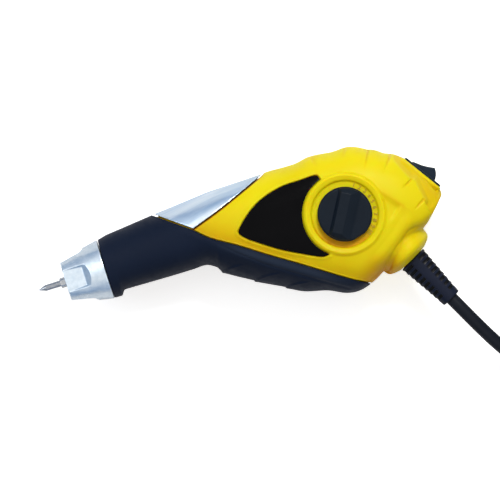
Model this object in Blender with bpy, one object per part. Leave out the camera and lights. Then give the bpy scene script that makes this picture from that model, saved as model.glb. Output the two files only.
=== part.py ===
"""Electric engraving pen with a stroke dial, a rocker switch and a mains lead.

Metres, +Z up. The pen lies on its hidden side. X runs from the needle to the
cord, Y runs up the back of the pen, and Z comes out of the face that carries
the stroke dial. The two housing halves meet at the middle plane.
"""

import math

import bmesh
import bpy
from mathutils import Matrix, Vector

# Clearances
GAP = 0.0003
RUNNING_GAP = 0.00015
OVERRUN = 0.004
MERGE = 0.000002

# Plan of the body: outlines are shares of this length and height
BODY_LENGTH = 0.1880
BODY_HEIGHT = 0.0705
BODY_HALF_WIDTH = 0.0230
FULL_SIDE_BULGE = 0.0236
MIDDLE_Z = BODY_HALF_WIDTH
SECTION_POINTS = 32
INNER_POINTS = 20
BODY_SPLIT_COUNT = 2

# Walls and skins
WALL = 0.0030
SKIN = 0.0014
PANEL_SKIN = 0.0011
MITRE_LIMIT = 0.35

# Stations of the body from the nose to the rear, as shares:
# upper point x and y, lower point x and y, how far up the widest line lies,
# half width as a share of the full bulge, and the section's squareness.
LUG_SHARES = [
    (0.1440, 0.3673, 0.1878, -0.0193, 0.50, 0.604, 1.00),
    (0.1640, 0.4000, 0.2068, -0.0040, 0.48, 0.614, 1.00),
]
BARREL_SHARES = [
    (0.1680, 0.4047, 0.2110, 0.0353, 0.435, 0.617, 1.00),
    (0.2200, 0.4640, 0.2638, 0.0760, 0.435, 0.644, 1.03),
    (0.2800, 0.5333, 0.3250, 0.1233, 0.43, 0.691, 1.08),
    (0.3375, 0.5967, 0.3825, 0.1700, 0.44, 0.760, 1.12),
    (0.3850, 0.6500, 0.4175, 0.2000, 0.45, 0.830, 1.16),
    (0.4150, 0.6833, 0.4435, 0.1847, 0.46, 0.872, 1.20),
]
BODY_SHARES = [
    (0.4250, 0.6933, 0.4543, 0.1567, 0.47, 0.886, 1.22),
    (0.4750, 0.7367, 0.5000, 0.1200, 0.50, 0.924, 1.26),
    (0.5375, 0.7933, 0.5550, 0.0847, 0.50, 0.970, 1.32),
    (0.6000, 0.8533, 0.6125, 0.0533, 0.50, 0.994, 1.38),
    (0.6625, 0.9167, 0.6650, 0.0247, 0.50, 1.000, 1.42),
    (0.7250, 0.9613, 0.7200, 0.0300, 0.50, 1.000, 1.42),
    (0.7800, 0.9933, 0.7650, 0.0133, 0.50, 1.000, 1.42),
    (0.8300, 0.9800, 0.7950, 0.0247, 0.50, 0.994, 1.42),
    (0.8750, 0.9467, 0.8200, 0.0600, 0.50, 0.977, 1.38),
    (0.9125, 0.9067, 0.8450, 0.1167, 0.50, 0.943, 1.33),
    (0.9500, 0.8233, 0.8775, 0.2133, 0.50, 0.881, 1.28),
    (0.9825, 0.7500, 0.9100, 0.3100, 0.50, 0.797, 1.22),
    (1.0000, 0.7000, 0.9400, 0.3933, 0.50, 0.700, 1.16),
    (1.0037, 0.6733, 0.9600, 0.4500, 0.50, 0.600, 1.10),
    (1.0012, 0.6533, 0.9688, 0.4833, 0.50, 0.466, 1.05),
]
CAVITY_LAST_STATION = 3

# Boundaries between the pieces of the outer skin, as shares of the plan
GRIP_EDGE_SHARES = [
    (0.2675, 0.6667),
    (0.2800, 0.5333),
    (0.3833, 0.4333),
    (0.4255, 0.3800),
    (0.4930, 0.3321),
    (0.5750, 0.2647),
    (0.6423, 0.2140),
    (0.7763, 0.1080),
    (0.8288, 0.0780),
    (0.8900, 0.0300),
]
GRIP_FAR_SHARES = [(0.8900, -0.3000), (0.1000, -0.3000), (0.1000, 0.6667)]
TOP_EDGE_SHARES = [
    (0.5750, 0.8900),
    (0.5555, 0.8047),
    (0.5355, 0.7547),
    (0.4980, 0.6707),
    (0.4408, 0.5480),
    (0.3833, 0.4367),
    (0.2830, 0.5367),
    (0.2720, 0.6700),
]
TOP_FAR_SHARES = [(0.2720, 1.0500), (0.5750, 1.0500)]
PANEL_EDGE_SHARES = [
    (0.7220, 0.2680),
    (0.7040, 0.2540),
    (0.6530, 0.2740),
    (0.6020, 0.3013),
    (0.5510, 0.3420),
    (0.5153, 0.3760),
    (0.4985, 0.4040),
    (0.4958, 0.4307),
    (0.5243, 0.5580),
    (0.5578, 0.6473),
    (0.6058, 0.7240),
    (0.6488, 0.7620),
    (0.6823, 0.7940),
    (0.6920, 0.7940),
]

# Nose, needle and stroke axis
AXIS_TILT = math.radians(17.5)
SEAT_SHARE = (0.16588, 0.1740)
SEAT_RADIUS = 0.01425
NOSE_LENGTH = 0.0198
NOSE_FRONT_RADIUS = 0.0106
NOSE_RIM = 0.0008
NOSE_HOLE_RADIUS = 0.0029
NOSE_STEPS = 40
SPIGOT_LENGTH = 0.0070
SPIGOT_RADIUS = 0.0085
SCOOP_LENGTH = 0.0123
SCOOP_FRONT_DEPTH = 0.0015
SCOOP_REAR_DEPTH = 0.0022
SCOOP_HALF_WIDTH = 0.0050
SCOOP_WALL_LENGTH = 0.0030
SCOOP_WALL_SPREAD = 0.0016
SCOOP_SIDE_RUN = 0.0120
SCOOP_SIDE_RISE = 0.0070
SCOOP_PAST_SHARE = 1.5
SCOOP_COUNT = 4
BUSH_RADIUS = 0.0060
BUSH_LENGTH = 0.0120
HOLDER_REACH = 0.0027
NEEDLE_REACH = 0.0108
NEEDLE_RADIUS = 0.00145
NEEDLE_POINT_LENGTH = 0.0036
NEEDLE_POINT_RADIUS = 0.00018
NEEDLE_SEAT_DEPTH = 0.0130
SHAFT_RADIUS = 0.0024
SET_SCREW_RADIUS = 0.0009
SET_SCREW_BACK = 0.0040
HOLE_START_SHARE = 0.5
SPRING_RADIUS = 0.0046
SPRING_WIRE = 0.0011
SPRING_TURNS = 7
SPRING_TURN_POINTS = 8
SPRING_LENGTH = 0.0190
SPRING_WASHER_RADIUS = 0.0064
SPRING_WASHER_THICKNESS = 0.0016
COLLAR_RADIUS = 0.0040
COLLAR_LENGTH = 0.0030

# Electromagnet, from its front face backwards
MAGNET_FRONT = 0.0625
MAGNET_LENGTH = 0.0365
MAGNET_HALF_HEIGHT = 0.0075
MAGNET_PLATE = 0.0045
MAGNET_LEG = 0.0030
BOBBIN_RADIUS = 0.0135
BOBBIN_FLANGE = 0.0018
BOBBIN_TUBE_WALL = 0.0012
WINDING_RADIUS = 0.0126
WINDING_CROWN = 0.0005
PLUNGER_RADIUS = 0.0060
PLUNGER_LENGTH = 0.0350
PLUNGER_FRONT_LEAD = 0.0012
PLUNGER_SOCKET_DEPTH = 0.0080
STOP_ROD_RADIUS = 0.0025
MAGNET_RIB_LENGTH = 0.0120
MAGNET_RIB_HALF_HEIGHT = 0.0070

# Stroke dial
DIAL_SHARE = (0.7600, 0.5367)
DIAL_TRAVEL = math.radians(118.0)
KNOB_RADIUS = 0.0128
KNOB_FLAT_DISTANCE = 0.01245
KNOB_FLAT_ANGLE = math.radians(-57.0)
KNOB_DISC_HEIGHT = 0.0036
KNOB_BAR_HEIGHT = 0.0026
KNOB_BAR_WIDTH = 0.0108
KNOB_BAR_TAPER = 0.0018
KNOB_BAR_END_SHARE = 0.6
KNOB_TILT = math.radians(-12.6)
KNOB_EDGE = 0.0006
KNOB_SOCKET_DEPTH = 0.0040
DISH_RADIUS = 0.0159
DISH_DEPTH = 0.0019
LIP_RADIUS = 0.0192
LIP_HEIGHT = 0.0009
LIP_EDGE = 0.0005
LIP_STEPS = 40
PANEL_ARC_RADIUS = LIP_RADIUS + GAP + GAP
PANEL_ARC_START = math.radians(125.0)
PANEL_ARC_END = math.radians(248.0)
PANEL_ARC_STEPS = 10
DIAL_BOSS_RADIUS = 0.0178
DIAL_BOSS_WALL = 0.0024
DIAL_SHAFT_RADIUS = 0.0030
WASHER_RADIUS = 0.0105
WASHER_THICKNESS = 0.0006
CAM_RADIUS = 0.0130
CAM_DROP = 0.0016
CAM_THICKNESS = 0.0060
CAM_MARGIN = math.radians(14.0)
CAM_STEPS = 48
SHAFT_FOOT_Z = 0.0075
DIAL_BEARING_RADIUS = 0.0060
DIAL_BEARING_TOP = 0.0130

# Rocker switch
DECK_FRONT_SHARE = (0.9105, 0.9053)
DECK_REAR_SHARE = (0.9975, 0.7180)
BEZEL_LENGTH = 0.0210
BEZEL_WIDTH = 0.0150
BEZEL_HEIGHT = 0.0009
BEZEL_SINK = 0.0002
SWITCH_BODY_LENGTH = 0.0190
SWITCH_BODY_WIDTH = 0.0128
SWITCH_BODY_DEPTH = 0.0125
SWITCH_WINDOW_LENGTH = 0.0148
SWITCH_WINDOW_WIDTH = 0.0108
SWITCH_POCKET_DEPTH = 0.0084
ROCKER_RADIUS = 0.0070
ROCKER_CORNER = math.radians(41.0)
ROCKER_VALLEY = 0.0041
ROCKER_FLOOR = 0.0032
ROCKER_WIDTH = 0.0102
ROCKER_TILT = math.radians(23.0)
ROCKER_PIVOT_DEPTH = 0.0016
ROCKER_SKIRT = math.radians(-24.0)
ROCKER_ARC_STEPS = 6
DECK_WIDTH = 0.0190
DECK_END = 0.0010
DECK_DEPTH = 0.0070
DECK_BEVEL = 0.0010
TERMINAL_WIDTH = 0.0048
TERMINAL_THICKNESS = 0.0008
TERMINAL_LENGTH = 0.0070
TERMINAL_SPACING = 0.0064

# Cord boss and strain relief
BOSS_FACE_SHARE = (0.9305, 0.2413)
BOSS_TILT = math.radians(-45.0)
BOSS_RADIUS = 0.0136
BOSS_SHOULDER_RADIUS = 0.0106
BOSS_MOUTH_RADIUS = 0.0074
BOSS_SHOULDER_BACK = 0.0011
BOSS_FULL_BACK = 0.0032
BOSS_BELLY_BACK = 0.0064
BOSS_LENGTH = 0.0160
BOSS_WALL = 0.0030
BOSS_ROOT_SHARE = 0.86
BOSS_WAIST_SHARE = 0.975
BOSS_DEPTH_SHARE = 1.38
BOOT_LENGTH = 0.0259
BOOT_RADIUS = 0.0070
BOOT_END_RADIUS = 0.00485
BOOT_NECK_RADIUS = 0.0056
BOOT_FLANGE_RADIUS = 0.0080
BOOT_FLANGE = 0.0020
BOOT_RING = 0.0026
BOOT_SLOT_ROWS = 8
BOOT_SLOT = 0.0013
BOOT_CORE_RADIUS = 0.0041
BOOT_SLOT_DEPTH = 0.0009
BOOT_CORE_FLAT_SHARE = 0.72
BOOT_SPINE_HALF_WIDTH = 0.0021
CORD_RADIUS = 0.0031
LEAD_INSET = 0.0190

# Cord clamp
CLAMP_BACK = 0.0135
CLAMP_WIDTH = 0.0060
CLAMP_THICKNESS = 0.0026
CLAMP_SCREW_SPACING = 0.0140
CLAMP_END = 0.0025
CLAMP_LENGTH = CLAMP_SCREW_SPACING + CLAMP_END + CLAMP_END
CLAMP_BOSS_RADIUS = 0.0024
CLAMP_SCREW_RADIUS = 0.0011
CLAMP_HEAD_RADIUS = 0.0020
CLAMP_HEAD_HEIGHT = 0.0014
CLAMP_SCREW_LENGTH = 0.0080
CLAMP_POST_SHARE = 0.5
CLAMP_POST_TOP = MIDDLE_Z + CORD_RADIUS * CLAMP_POST_SHARE

# Housing screws: plan places as shares
HOUSING_SCREW_SHARES = [
    (0.4463, 0.2540),
    (0.6625, 0.8167),
    (0.8400, 0.8667),
    (0.7750, 0.1800),
]
SCREW_RADIUS = 0.0015
SCREW_HEAD_RADIUS = 0.0028
SCREW_HEAD_HEIGHT = 0.0020
SCREW_LENGTH = 0.0220
SCREW_SEAT_Z = 0.0105
SCREW_DRIVE_RADIUS = 0.0011
SCREW_DRIVE_DEPTH = 0.0010
BOSS_POST_RADIUS = 0.0034
BOSS_WELL_RADIUS = 0.0046

# Mains cord: a free stretch of points chosen by hand, then a neat coil
FREE_ROUTE = [
    (0.0954, -0.0342, 0.0230),
    (0.0998, -0.0386, 0.0229),
    (0.1067, -0.0455, 0.0214),
    (0.1154, -0.0537, 0.0166),
    (0.1247, -0.0614, 0.0107),
    (0.1345, -0.0683, 0.0056),
    (0.1405, -0.0721, 0.0038),
    (0.1460, -0.0755, 0.0033),
    (0.1514, -0.0789, 0.0033),
]
FREE_SPLIT_COUNT = 3
CORD_LAY = 0.0033
COIL_MEAN_RADIUS = 0.0374
COIL_PITCH = 0.00675
COIL_TURNS = 7.56
COIL_TURN_POINTS = 24
COIL_RUN_IN = 0.0074
COIL_TAIL = 0.0180
COIL_OUTER = COIL_MEAN_RADIUS + COIL_PITCH * COIL_TURNS / 4
COIL_INNER = COIL_MEAN_RADIUS - COIL_PITCH * COIL_TURNS / 4
CLIMB_TURNS = 0.5
RUN_IN_SHARES = [0.0, 0.5]
TAIL_SHARES = [0.25, 0.5, 0.75, 1.0]
TAIL_LANDED_SHARE = 0.75
PLUG_AXIS_Z = 0.0072

# Plug
PLUG_LENGTH = 0.0360
PLUG_WIDTH = 0.0350
PLUG_NECK_WIDTH = 0.0130
PLUG_SHOULDER_SHARE = 0.55
PLUG_NECK_SHARE = 0.16
PLUG_HEIGHT = 0.0138
PLUG_EDGE = 0.0022
PIN_RADIUS = 0.0020
PIN_LENGTH = 0.0190
PIN_SPACING = 0.0186
PIN_TIP = 0.0008

ROUND = 24
SMALL_ROUND = 14
SCREW_ROUND = 12
SHARP_ANGLE = math.radians(32.0)

# Local frames, by name; make_frames fills them in
FRAMES = {}


def clear_scene():
    for thing in list(bpy.data.objects):
        bpy.data.objects.remove(thing, do_unlink=True)


def material(name, colour, roughness, metallic=0.0):
    made = bpy.data.materials.new(name)
    made.use_nodes = True
    shader = made.node_tree.nodes["Principled BSDF"]
    shader.inputs["Base Color"].default_value = (*colour, 1.0)
    shader.inputs["Roughness"].default_value = roughness
    shader.inputs["Metallic"].default_value = metallic
    made.diffuse_color = (*colour, 1.0)
    return made


def object_of(name, bm):
    """A new object in the scene from a bmesh, with its faces turned outward."""
    bmesh.ops.remove_doubles(bm, verts=bm.verts, dist=MERGE)
    bmesh.ops.recalc_face_normals(bm, faces=bm.faces)
    mesh = bpy.data.meshes.new(name)
    bm.to_mesh(mesh)
    bm.free()
    made = bpy.data.objects.new(name, mesh)
    bpy.context.scene.collection.objects.link(made)
    return made


def remove(thing):
    bpy.data.objects.remove(thing, do_unlink=True)


def cleaned(thing):
    """Merge the slivers that a Boolean leaves."""
    bm = bmesh.new()
    bm.from_mesh(thing.data)
    bmesh.ops.remove_doubles(bm, verts=bm.verts, dist=MERGE)
    bmesh.ops.dissolve_degenerate(bm, edges=bm.edges, dist=MERGE)
    bm.to_mesh(thing.data)
    bm.free()
    return thing


def cut(target, tool, operation="DIFFERENCE"):
    """Apply one exact Boolean to the target and throw the tool away."""
    modifier = target.modifiers.new("cut", "BOOLEAN")
    modifier.operation = operation
    modifier.solver = "EXACT"
    modifier.object = tool
    bpy.context.view_layer.update()
    graph = bpy.context.evaluated_depsgraph_get()
    mesh = bpy.data.meshes.new_from_object(target.evaluated_get(graph))
    target.modifiers.clear()
    target.data = mesh
    remove(tool)
    return cleaned(target)


def union(target, tool):
    return cut(target, tool, "UNION")


def keep_inside(target, tool):
    return cut(target, tool, "INTERSECT")


def finish(thing, name, made_of, parent=None):
    thing.name = name
    thing.data.name = name
    thing.data.materials.clear()
    thing.data.materials.append(made_of)
    thing.data.shade_smooth()
    thing.data.set_sharp_from_angle(angle=SHARP_ANGLE)
    if parent is not None:
        world = thing.matrix_world.copy()
        thing.parent = parent
        thing.matrix_parent_inverse = parent.matrix_world.inverted()
        thing.matrix_world = world
    return thing


def joined(pieces):
    """One mesh of several bodies that don't touch, in world space."""
    bm = bmesh.new()
    bpy.context.view_layer.update()
    for piece in pieces:
        mesh = piece.data.copy()
        mesh.transform(piece.matrix_world)
        bm.from_mesh(mesh)
        bpy.data.meshes.remove(mesh)
        remove(piece)
    return object_of("joined", bm)


def ring_faces(bm, first, second):
    count = len(first)
    for index in range(count):
        after = (index + 1) % count
        bm.faces.new((first[index], first[after], second[after], second[index]))


def lofted(name, sections):
    """A closed solid through a list of rings, with a flat cap at each end."""
    bm = bmesh.new()
    rings = [[bm.verts.new(point) for point in section] for section in sections]
    for first, second in zip(rings, rings[1:]):
        ring_faces(bm, first, second)
    bm.faces.new(rings[0])
    bm.faces.new(rings[-1])
    return object_of(name, bm)


def prism(name, outline, low, high):
    """A plan outline pulled up from one height to another."""
    return lofted(name, [[(x, y, z) for x, y in outline] for z in (low, high)])


def box(name, low, high):
    (x0, y0, z0), (x1, y1, z1) = low, high
    return prism(name, [(x0, y0), (x1, y0), (x1, y1), (x0, y1)], z0, z1)


def turned(name, profile, steps=ROUND):
    """A profile of (along X, radius) points turned about X.

    A profile that starts and ends at radius zero makes a solid. Any other
    profile is closed on itself and makes a ring."""
    solid = profile[0][1] == 0
    rims = profile[1:-1] if solid else profile
    bm = bmesh.new()
    rings = []
    for along, radius in rims:
        ring = []
        for step in range(steps):
            angle = math.tau * step / steps
            point = (along, radius * math.cos(angle), radius * math.sin(angle))
            ring.append(bm.verts.new(point))
        rings.append(ring)
    for first, second in zip(rings, rings[1:]):
        ring_faces(bm, first, second)
    if solid:
        bm.faces.new(rings[0])
        bm.faces.new(rings[-1])
    else:
        ring_faces(bm, rings[-1], rings[0])
    return object_of(name, bm)


def rod(name, start, end, radius, steps=ROUND):
    return turned(name, [(start, 0), (start, radius), (end, radius), (end, 0)], steps)


def tube(name, start, end, outer, inner, steps=ROUND):
    profile = [(start, inner), (start, outer), (end, outer), (end, inner)]
    return turned(name, profile, steps)


def post(name, x, y, low, high, radius, steps=SMALL_ROUND):
    """A round post that stands along Z at a plan place."""
    outline = []
    for step in range(steps):
        angle = math.tau * step / steps
        outline.append((x + radius * math.cos(angle), y + radius * math.sin(angle)))
    return prism(name, outline, low, high)


def frame_at(name, x, y, z, turn):
    empty = bpy.data.objects.new(name, None)
    bpy.context.scene.collection.objects.link(empty)
    empty.matrix_world = Matrix.Translation((x, y, z)) @ Matrix.Rotation(turn, 4, "Z")
    return empty


def put_in(thing, frame):
    """Move a piece that was drawn in a local frame to that frame's place."""
    thing.matrix_world = frame.matrix_world @ thing.matrix_world
    return thing


def direction(turn):
    return Vector((math.cos(turn), math.sin(turn)))


def raw_plan(share):
    return Vector((share[0] * BODY_LENGTH, share[1] * BODY_HEIGHT))


def smooth_rows(rows, splits):
    """Rows with smooth rows put in between, by a curve through every row."""
    out = []
    last = len(rows) - 1
    for index in range(last):
        before = rows[max(index - 1, 0)]
        here = rows[index]
        there = rows[index + 1]
        after = rows[min(index + 2, last)]
        for split in range(splits):
            out.append(smooth_between(before, here, there, after, split / splits))
    out.append(rows[last])
    return out


def smooth_between(before, here, there, after, way):
    """A cubic blend whose slopes allow for the rows' unequal spacing."""
    span_in = math.dist(before[:2], here[:2])
    middle = math.dist(here[:2], there[:2])
    span_out = math.dist(there[:2], after[:2])
    values = []
    for a, b, c, d in zip(before, here, there, after):
        slope_in = c - b
        if span_in > 0:
            slope_in = middle * (c - a) / (span_in + middle)
        slope_out = c - b
        if span_out > 0:
            slope_out = middle * (d - b) / (middle + span_out)
        values.append(
            (2 * way**3 - 3 * way**2 + 1) * b
            + (way**3 - 2 * way**2 + way) * slope_in
            + (3 * way**2 - 2 * way**3) * c
            + (way**3 - way**2) * slope_out
        )
    return tuple(values)


def raw_extremes():
    """Where the pen ends on each side of the plan, before it is centred."""
    seat = raw_plan(SEAT_SHARE)
    tip = seat - direction(AXIS_TILT) * (NOSE_LENGTH + HOLDER_REACH + NEEDLE_REACH)
    boot_end = raw_plan(BOSS_FACE_SHARE) + direction(BOSS_TILT) * BOOT_LENGTH
    across = direction(BOSS_TILT + math.pi / 2) * BOOT_END_RADIUS
    top = max(row[1] for row in smooth_rows(BODY_SHARES, BODY_SPLIT_COUNT)) * BODY_HEIGHT
    return tip.x, (boot_end + across).x, (boot_end - across).y, top


LEFT_X, RIGHT_X, LOW_Y, TOP_Y = raw_extremes()
CENTRE = Vector(((LEFT_X + RIGHT_X) / 2, (LOW_Y + TOP_Y) / 2))


def plan(share):
    return raw_plan(share) - CENTRE


SEAT = plan(SEAT_SHARE)
DIAL = plan(DIAL_SHARE)
BOSS_FACE = plan(BOSS_FACE_SHARE)
DECK_FRONT = plan(DECK_FRONT_SHARE)
DECK_REAR = plan(DECK_REAR_SHARE)
DECK_MIDDLE = (DECK_FRONT + DECK_REAR) / 2
DECK_TURN = math.atan2(*(DECK_REAR - DECK_FRONT).yx)
BEZEL_TOP = BEZEL_HEIGHT - BEZEL_SINK + GAP
TOP_FACE_Z = MIDDLE_Z + BODY_HALF_WIDTH
DISH_Z = TOP_FACE_Z - DISH_DEPTH
WASHER_Z = DISH_Z + GAP
KNOB_Z = WASHER_Z + WASHER_THICKNESS + GAP
KNOB_FACE_Z = KNOB_Z + KNOB_DISC_HEIGHT
SHAFT_TOP_Z = KNOB_Z + KNOB_SOCKET_DEPTH - GAP


def section(row, inset, count):
    """One closed ring of the body: a squared oval about the station's line."""
    upper = plan(row[0:2])
    lower = plan(row[2:4])
    centre = lower.lerp(upper, row[4])
    up = (upper - lower).normalized()
    rise = (upper - centre).length - inset
    fall = (centre - lower).length - inset
    half = row[5] * FULL_SIDE_BULGE - inset
    flat = BODY_HALF_WIDTH - inset
    ring = []
    for index in range(count):
        angle = math.tau * index / count
        across = signed_power(math.sin(angle), 1 / row[6])
        high = signed_power(math.cos(angle), 1 / row[6])
        reach = rise if high > 0 else fall
        place = centre + up * reach * high
        side = max(-flat, min(flat, half * across))
        ring.append((place.x, place.y, MIDDLE_Z + side))
    return ring


def signed_power(value, power):
    return math.copysign(abs(value) ** power, value)


def pushed(row, distance):
    """A station moved along the pen, away from the station's own line."""
    upper = raw_plan(row[0:2])
    lower = raw_plan(row[2:4])
    along = (upper - lower).normalized()
    step = Vector((along.y, -along.x)) * distance
    upper = upper + step
    lower = lower + step
    high = (upper.x / BODY_LENGTH, upper.y / BODY_HEIGHT)
    low = (lower.x / BODY_LENGTH, lower.y / BODY_HEIGHT)
    return (*high, *low, *row[4:])


def body_rows(splits):
    return LUG_SHARES + smooth_rows(BARREL_SHARES, splits) + smooth_rows(BODY_SHARES, splits)


def body_solid(inset=0):
    return lofted("body", [section(row, inset, SECTION_POINTS) for row in body_rows(BODY_SPLIT_COUNT)])


def cavity_solid(inset):
    rows = BARREL_SHARES[1:] + BODY_SHARES[:-CAVITY_LAST_STATION]
    room = lofted("cavity", [section(row, inset, INNER_POINTS) for row in rows])
    end = (plan(rows[0][0:2]) - SEAT).length + OVERRUN
    bore = rod("spigot_bore", -OVERRUN, end, SPIGOT_RADIUS + GAP)
    return union(room, put_in(bore, FRAMES["stroke"]))


def inner_solid(inset):
    """The body drawn smaller, for the faces that skins and seats have inside."""
    rows = body_rows(1)
    rows = [pushed(rows[0], -OVERRUN)] + rows
    return lofted("inner", [section(row, inset, INNER_POINTS) for row in rows])


def offset_outline(points, distance):
    """A closed outline moved outward by a distance, or inward if it is negative."""
    area = 0.0
    count = len(points)
    for index in range(count):
        area += points[index].cross(points[(index + 1) % count])
    way = math.copysign(1, area)
    moved = []
    for index in range(count):
        before = (points[index] - points[index - 1]).normalized()
        after = (points[(index + 1) % count] - points[index]).normalized()
        normal_in = Vector((before.y, -before.x)) * way
        normal_out = Vector((after.y, -after.x)) * way
        bisector = (normal_in + normal_out).normalized()
        reach = distance / max(bisector.dot(normal_out), MITRE_LIMIT)
        moved.append(points[index] + bisector * reach)
    return moved


def arc_points(centre, radius, start, end, steps):
    return [
        centre + direction(start + (end - start) * step / steps) * radius for step in range(steps + 1)
    ]


def panel_outline():
    edge = [plan(share) for share in PANEL_EDGE_SHARES]
    arc = arc_points(DIAL, PANEL_ARC_RADIUS, PANEL_ARC_START, PANEL_ARC_END, PANEL_ARC_STEPS)
    return edge + arc


def grip_outline():
    return [plan(share) for share in GRIP_EDGE_SHARES + GRIP_FAR_SHARES]


def top_outline():
    return [plan(share) for share in TOP_EDGE_SHARES + TOP_FAR_SHARES]


def half_heights(side):
    """Lowest and highest Z of the half on one side of the middle plane."""
    far = BODY_HALF_WIDTH + OVERRUN
    if side > 0:
        return MIDDLE_Z + GAP / 2, MIDDLE_Z + far
    return MIDDLE_Z - far, MIDDLE_Z - GAP / 2


def whole_heights():
    return half_heights(-1)[0], half_heights(1)[1]


def skin_piece(outline, heights, thickness):
    """A piece of the body's outer skin inside a plan outline."""
    piece = body_solid()
    keep_inside(piece, prism("zone", [tuple(p) for p in outline], *heights))
    return cut(piece, inner_solid(thickness))


def skin_seat(outlines, heights, thickness):
    """The room that pieces of skin take in the shell under them."""
    low, high = heights
    seat = None
    for outline in outlines:
        zone = prism("zone", [tuple(p) for p in offset_outline(outline, GAP)], low, high)
        seat = union(seat, zone) if seat else zone
        low += GAP
        high -= GAP
    return cut(seat, inner_solid(thickness + GAP))


def boss_bulb():
    """The lobe that the cord comes out of: turned about the cord's axis, and deeper than wide."""
    profile = [
        (-BOSS_LENGTH, 0),
        (-BOSS_LENGTH, BOSS_RADIUS * BOSS_ROOT_SHARE),
        (-BOSS_BELLY_BACK, BOSS_RADIUS),
        (-BOSS_FULL_BACK, BOSS_RADIUS * BOSS_WAIST_SHARE),
        (-BOSS_SHOULDER_BACK, BOSS_SHOULDER_RADIUS),
        (0, BOSS_MOUTH_RADIUS),
        (0, 0),
    ]
    bulb = turned("bulb", profile)
    bulb.data.transform(Matrix.Diagonal((1, 1, BOSS_DEPTH_SHARE, 1)))
    return put_in(bulb, FRAMES["boss"])


def boss_room():
    """The hollow in the lobe, which holds the strain relief's flange."""
    profile = [
        (-BOSS_LENGTH, 0),
        (-BOSS_LENGTH, BOSS_RADIUS * BOSS_ROOT_SHARE - BOSS_WALL),
        (-BOSS_BELLY_BACK - BOSS_WALL, BOSS_RADIUS - BOSS_WALL),
        (-BOSS_FULL_BACK - BOSS_WALL, BOSS_RADIUS * BOSS_WAIST_SHARE - BOSS_WALL),
        (-BOSS_WALL, BOOT_FLANGE_RADIUS + GAP),
        (-BOSS_WALL, 0),
    ]
    return put_in(turned("room", profile), FRAMES["boss"])


def deck_block():
    """The raised pad that carries the rocker switch."""
    half_length = (DECK_REAR - DECK_FRONT).length / 2 + DECK_END
    half_width = DECK_WIDTH / 2
    low = (-half_length, -DECK_DEPTH, -half_width)
    high = (half_length, 0, half_width)
    block = box("deck", low, high)
    bevel = block.modifiers.new("edge", "BEVEL")
    bevel.width = DECK_BEVEL
    bevel.segments = 1
    bpy.context.view_layer.update()
    graph = bpy.context.evaluated_depsgraph_get()
    mesh = bpy.data.meshes.new_from_object(block.evaluated_get(graph))
    block.modifiers.clear()
    block.data = mesh
    return put_in(block, FRAMES["deck"])


def deck_trim():
    """What lies above the deck's plane, to be cut away."""
    half_length = (DECK_REAR - DECK_FRONT).length / 2
    half_width = BODY_HALF_WIDTH + OVERRUN
    block = box("trim", (-half_length, 0, -half_width), (half_length, DECK_DEPTH, half_width))
    return put_in(block, FRAMES["deck"])


def lip_ring():
    low = TOP_FACE_Z - WALL / 2
    high = TOP_FACE_Z + LIP_HEIGHT
    profile = [
        (low, 0),
        (low, LIP_RADIUS),
        (TOP_FACE_Z, LIP_RADIUS),
        (high, LIP_RADIUS - LIP_EDGE - LIP_EDGE),
        (high, 0),
    ]
    return upright(turned("lip", profile, LIP_STEPS), DIAL)


def upright(thing, place):
    """Stand a piece that was turned about X on the plan, along Z."""
    turn = Matrix.Rotation(-math.pi / 2, 4, "Y")
    thing.matrix_world = Matrix.Translation((place.x, place.y, 0)) @ turn @ thing.matrix_world
    return thing


def posts(side):
    """Screw posts and bearings inside one half, trimmed to stay in the wall."""
    low, high = half_heights(side)
    if side > 0:
        low += GAP
    else:
        high -= GAP
    radius = BOSS_POST_RADIUS if side > 0 else BOSS_WELL_RADIUS
    made = [post("post", *plan(share), low, high, radius) for share in HOUSING_SCREW_SHARES]
    if side < 0:
        made.append(post("bearing", *DIAL, low, DIAL_BEARING_TOP, DIAL_BEARING_RADIUS))
        for place in clamp_places():
            made.append(post("clamp_post", *place, low, CLAMP_POST_TOP, CLAMP_BOSS_RADIUS))
    else:
        boss_low = DISH_Z - DIAL_BOSS_WALL
        made.append(post("dial_boss", *DIAL, boss_low, high, DIAL_BOSS_RADIUS, ROUND))
    made.append(magnet_rib(side))
    group = joined(made)
    limit = body_solid(WALL / 2)
    return keep_inside(group, limit)


def magnet_rib(side):
    """A rib on the wall that holds the magnet's leg."""
    low, high = half_heights(side)
    leg = BOBBIN_RADIUS + GAP + MAGNET_LEG + GAP
    if side > 0:
        low = MIDDLE_Z + leg
    else:
        high = MIDDLE_Z - leg
    start = MAGNET_FRONT + MAGNET_LENGTH / 2 - MAGNET_RIB_LENGTH / 2
    reach = MAGNET_RIB_HALF_HEIGHT
    near = (start, -reach, low - MIDDLE_Z)
    far = (start + MAGNET_RIB_LENGTH, reach, high - MIDDLE_Z)
    return put_in(box("rib", near, far), FRAMES["stroke"])


def clamp_places():
    middle = BOSS_FACE - direction(BOSS_TILT) * CLAMP_BACK
    across = direction(BOSS_TILT + math.pi / 2) * (CLAMP_SCREW_SPACING / 2)
    return [middle + across, middle - across]


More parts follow.
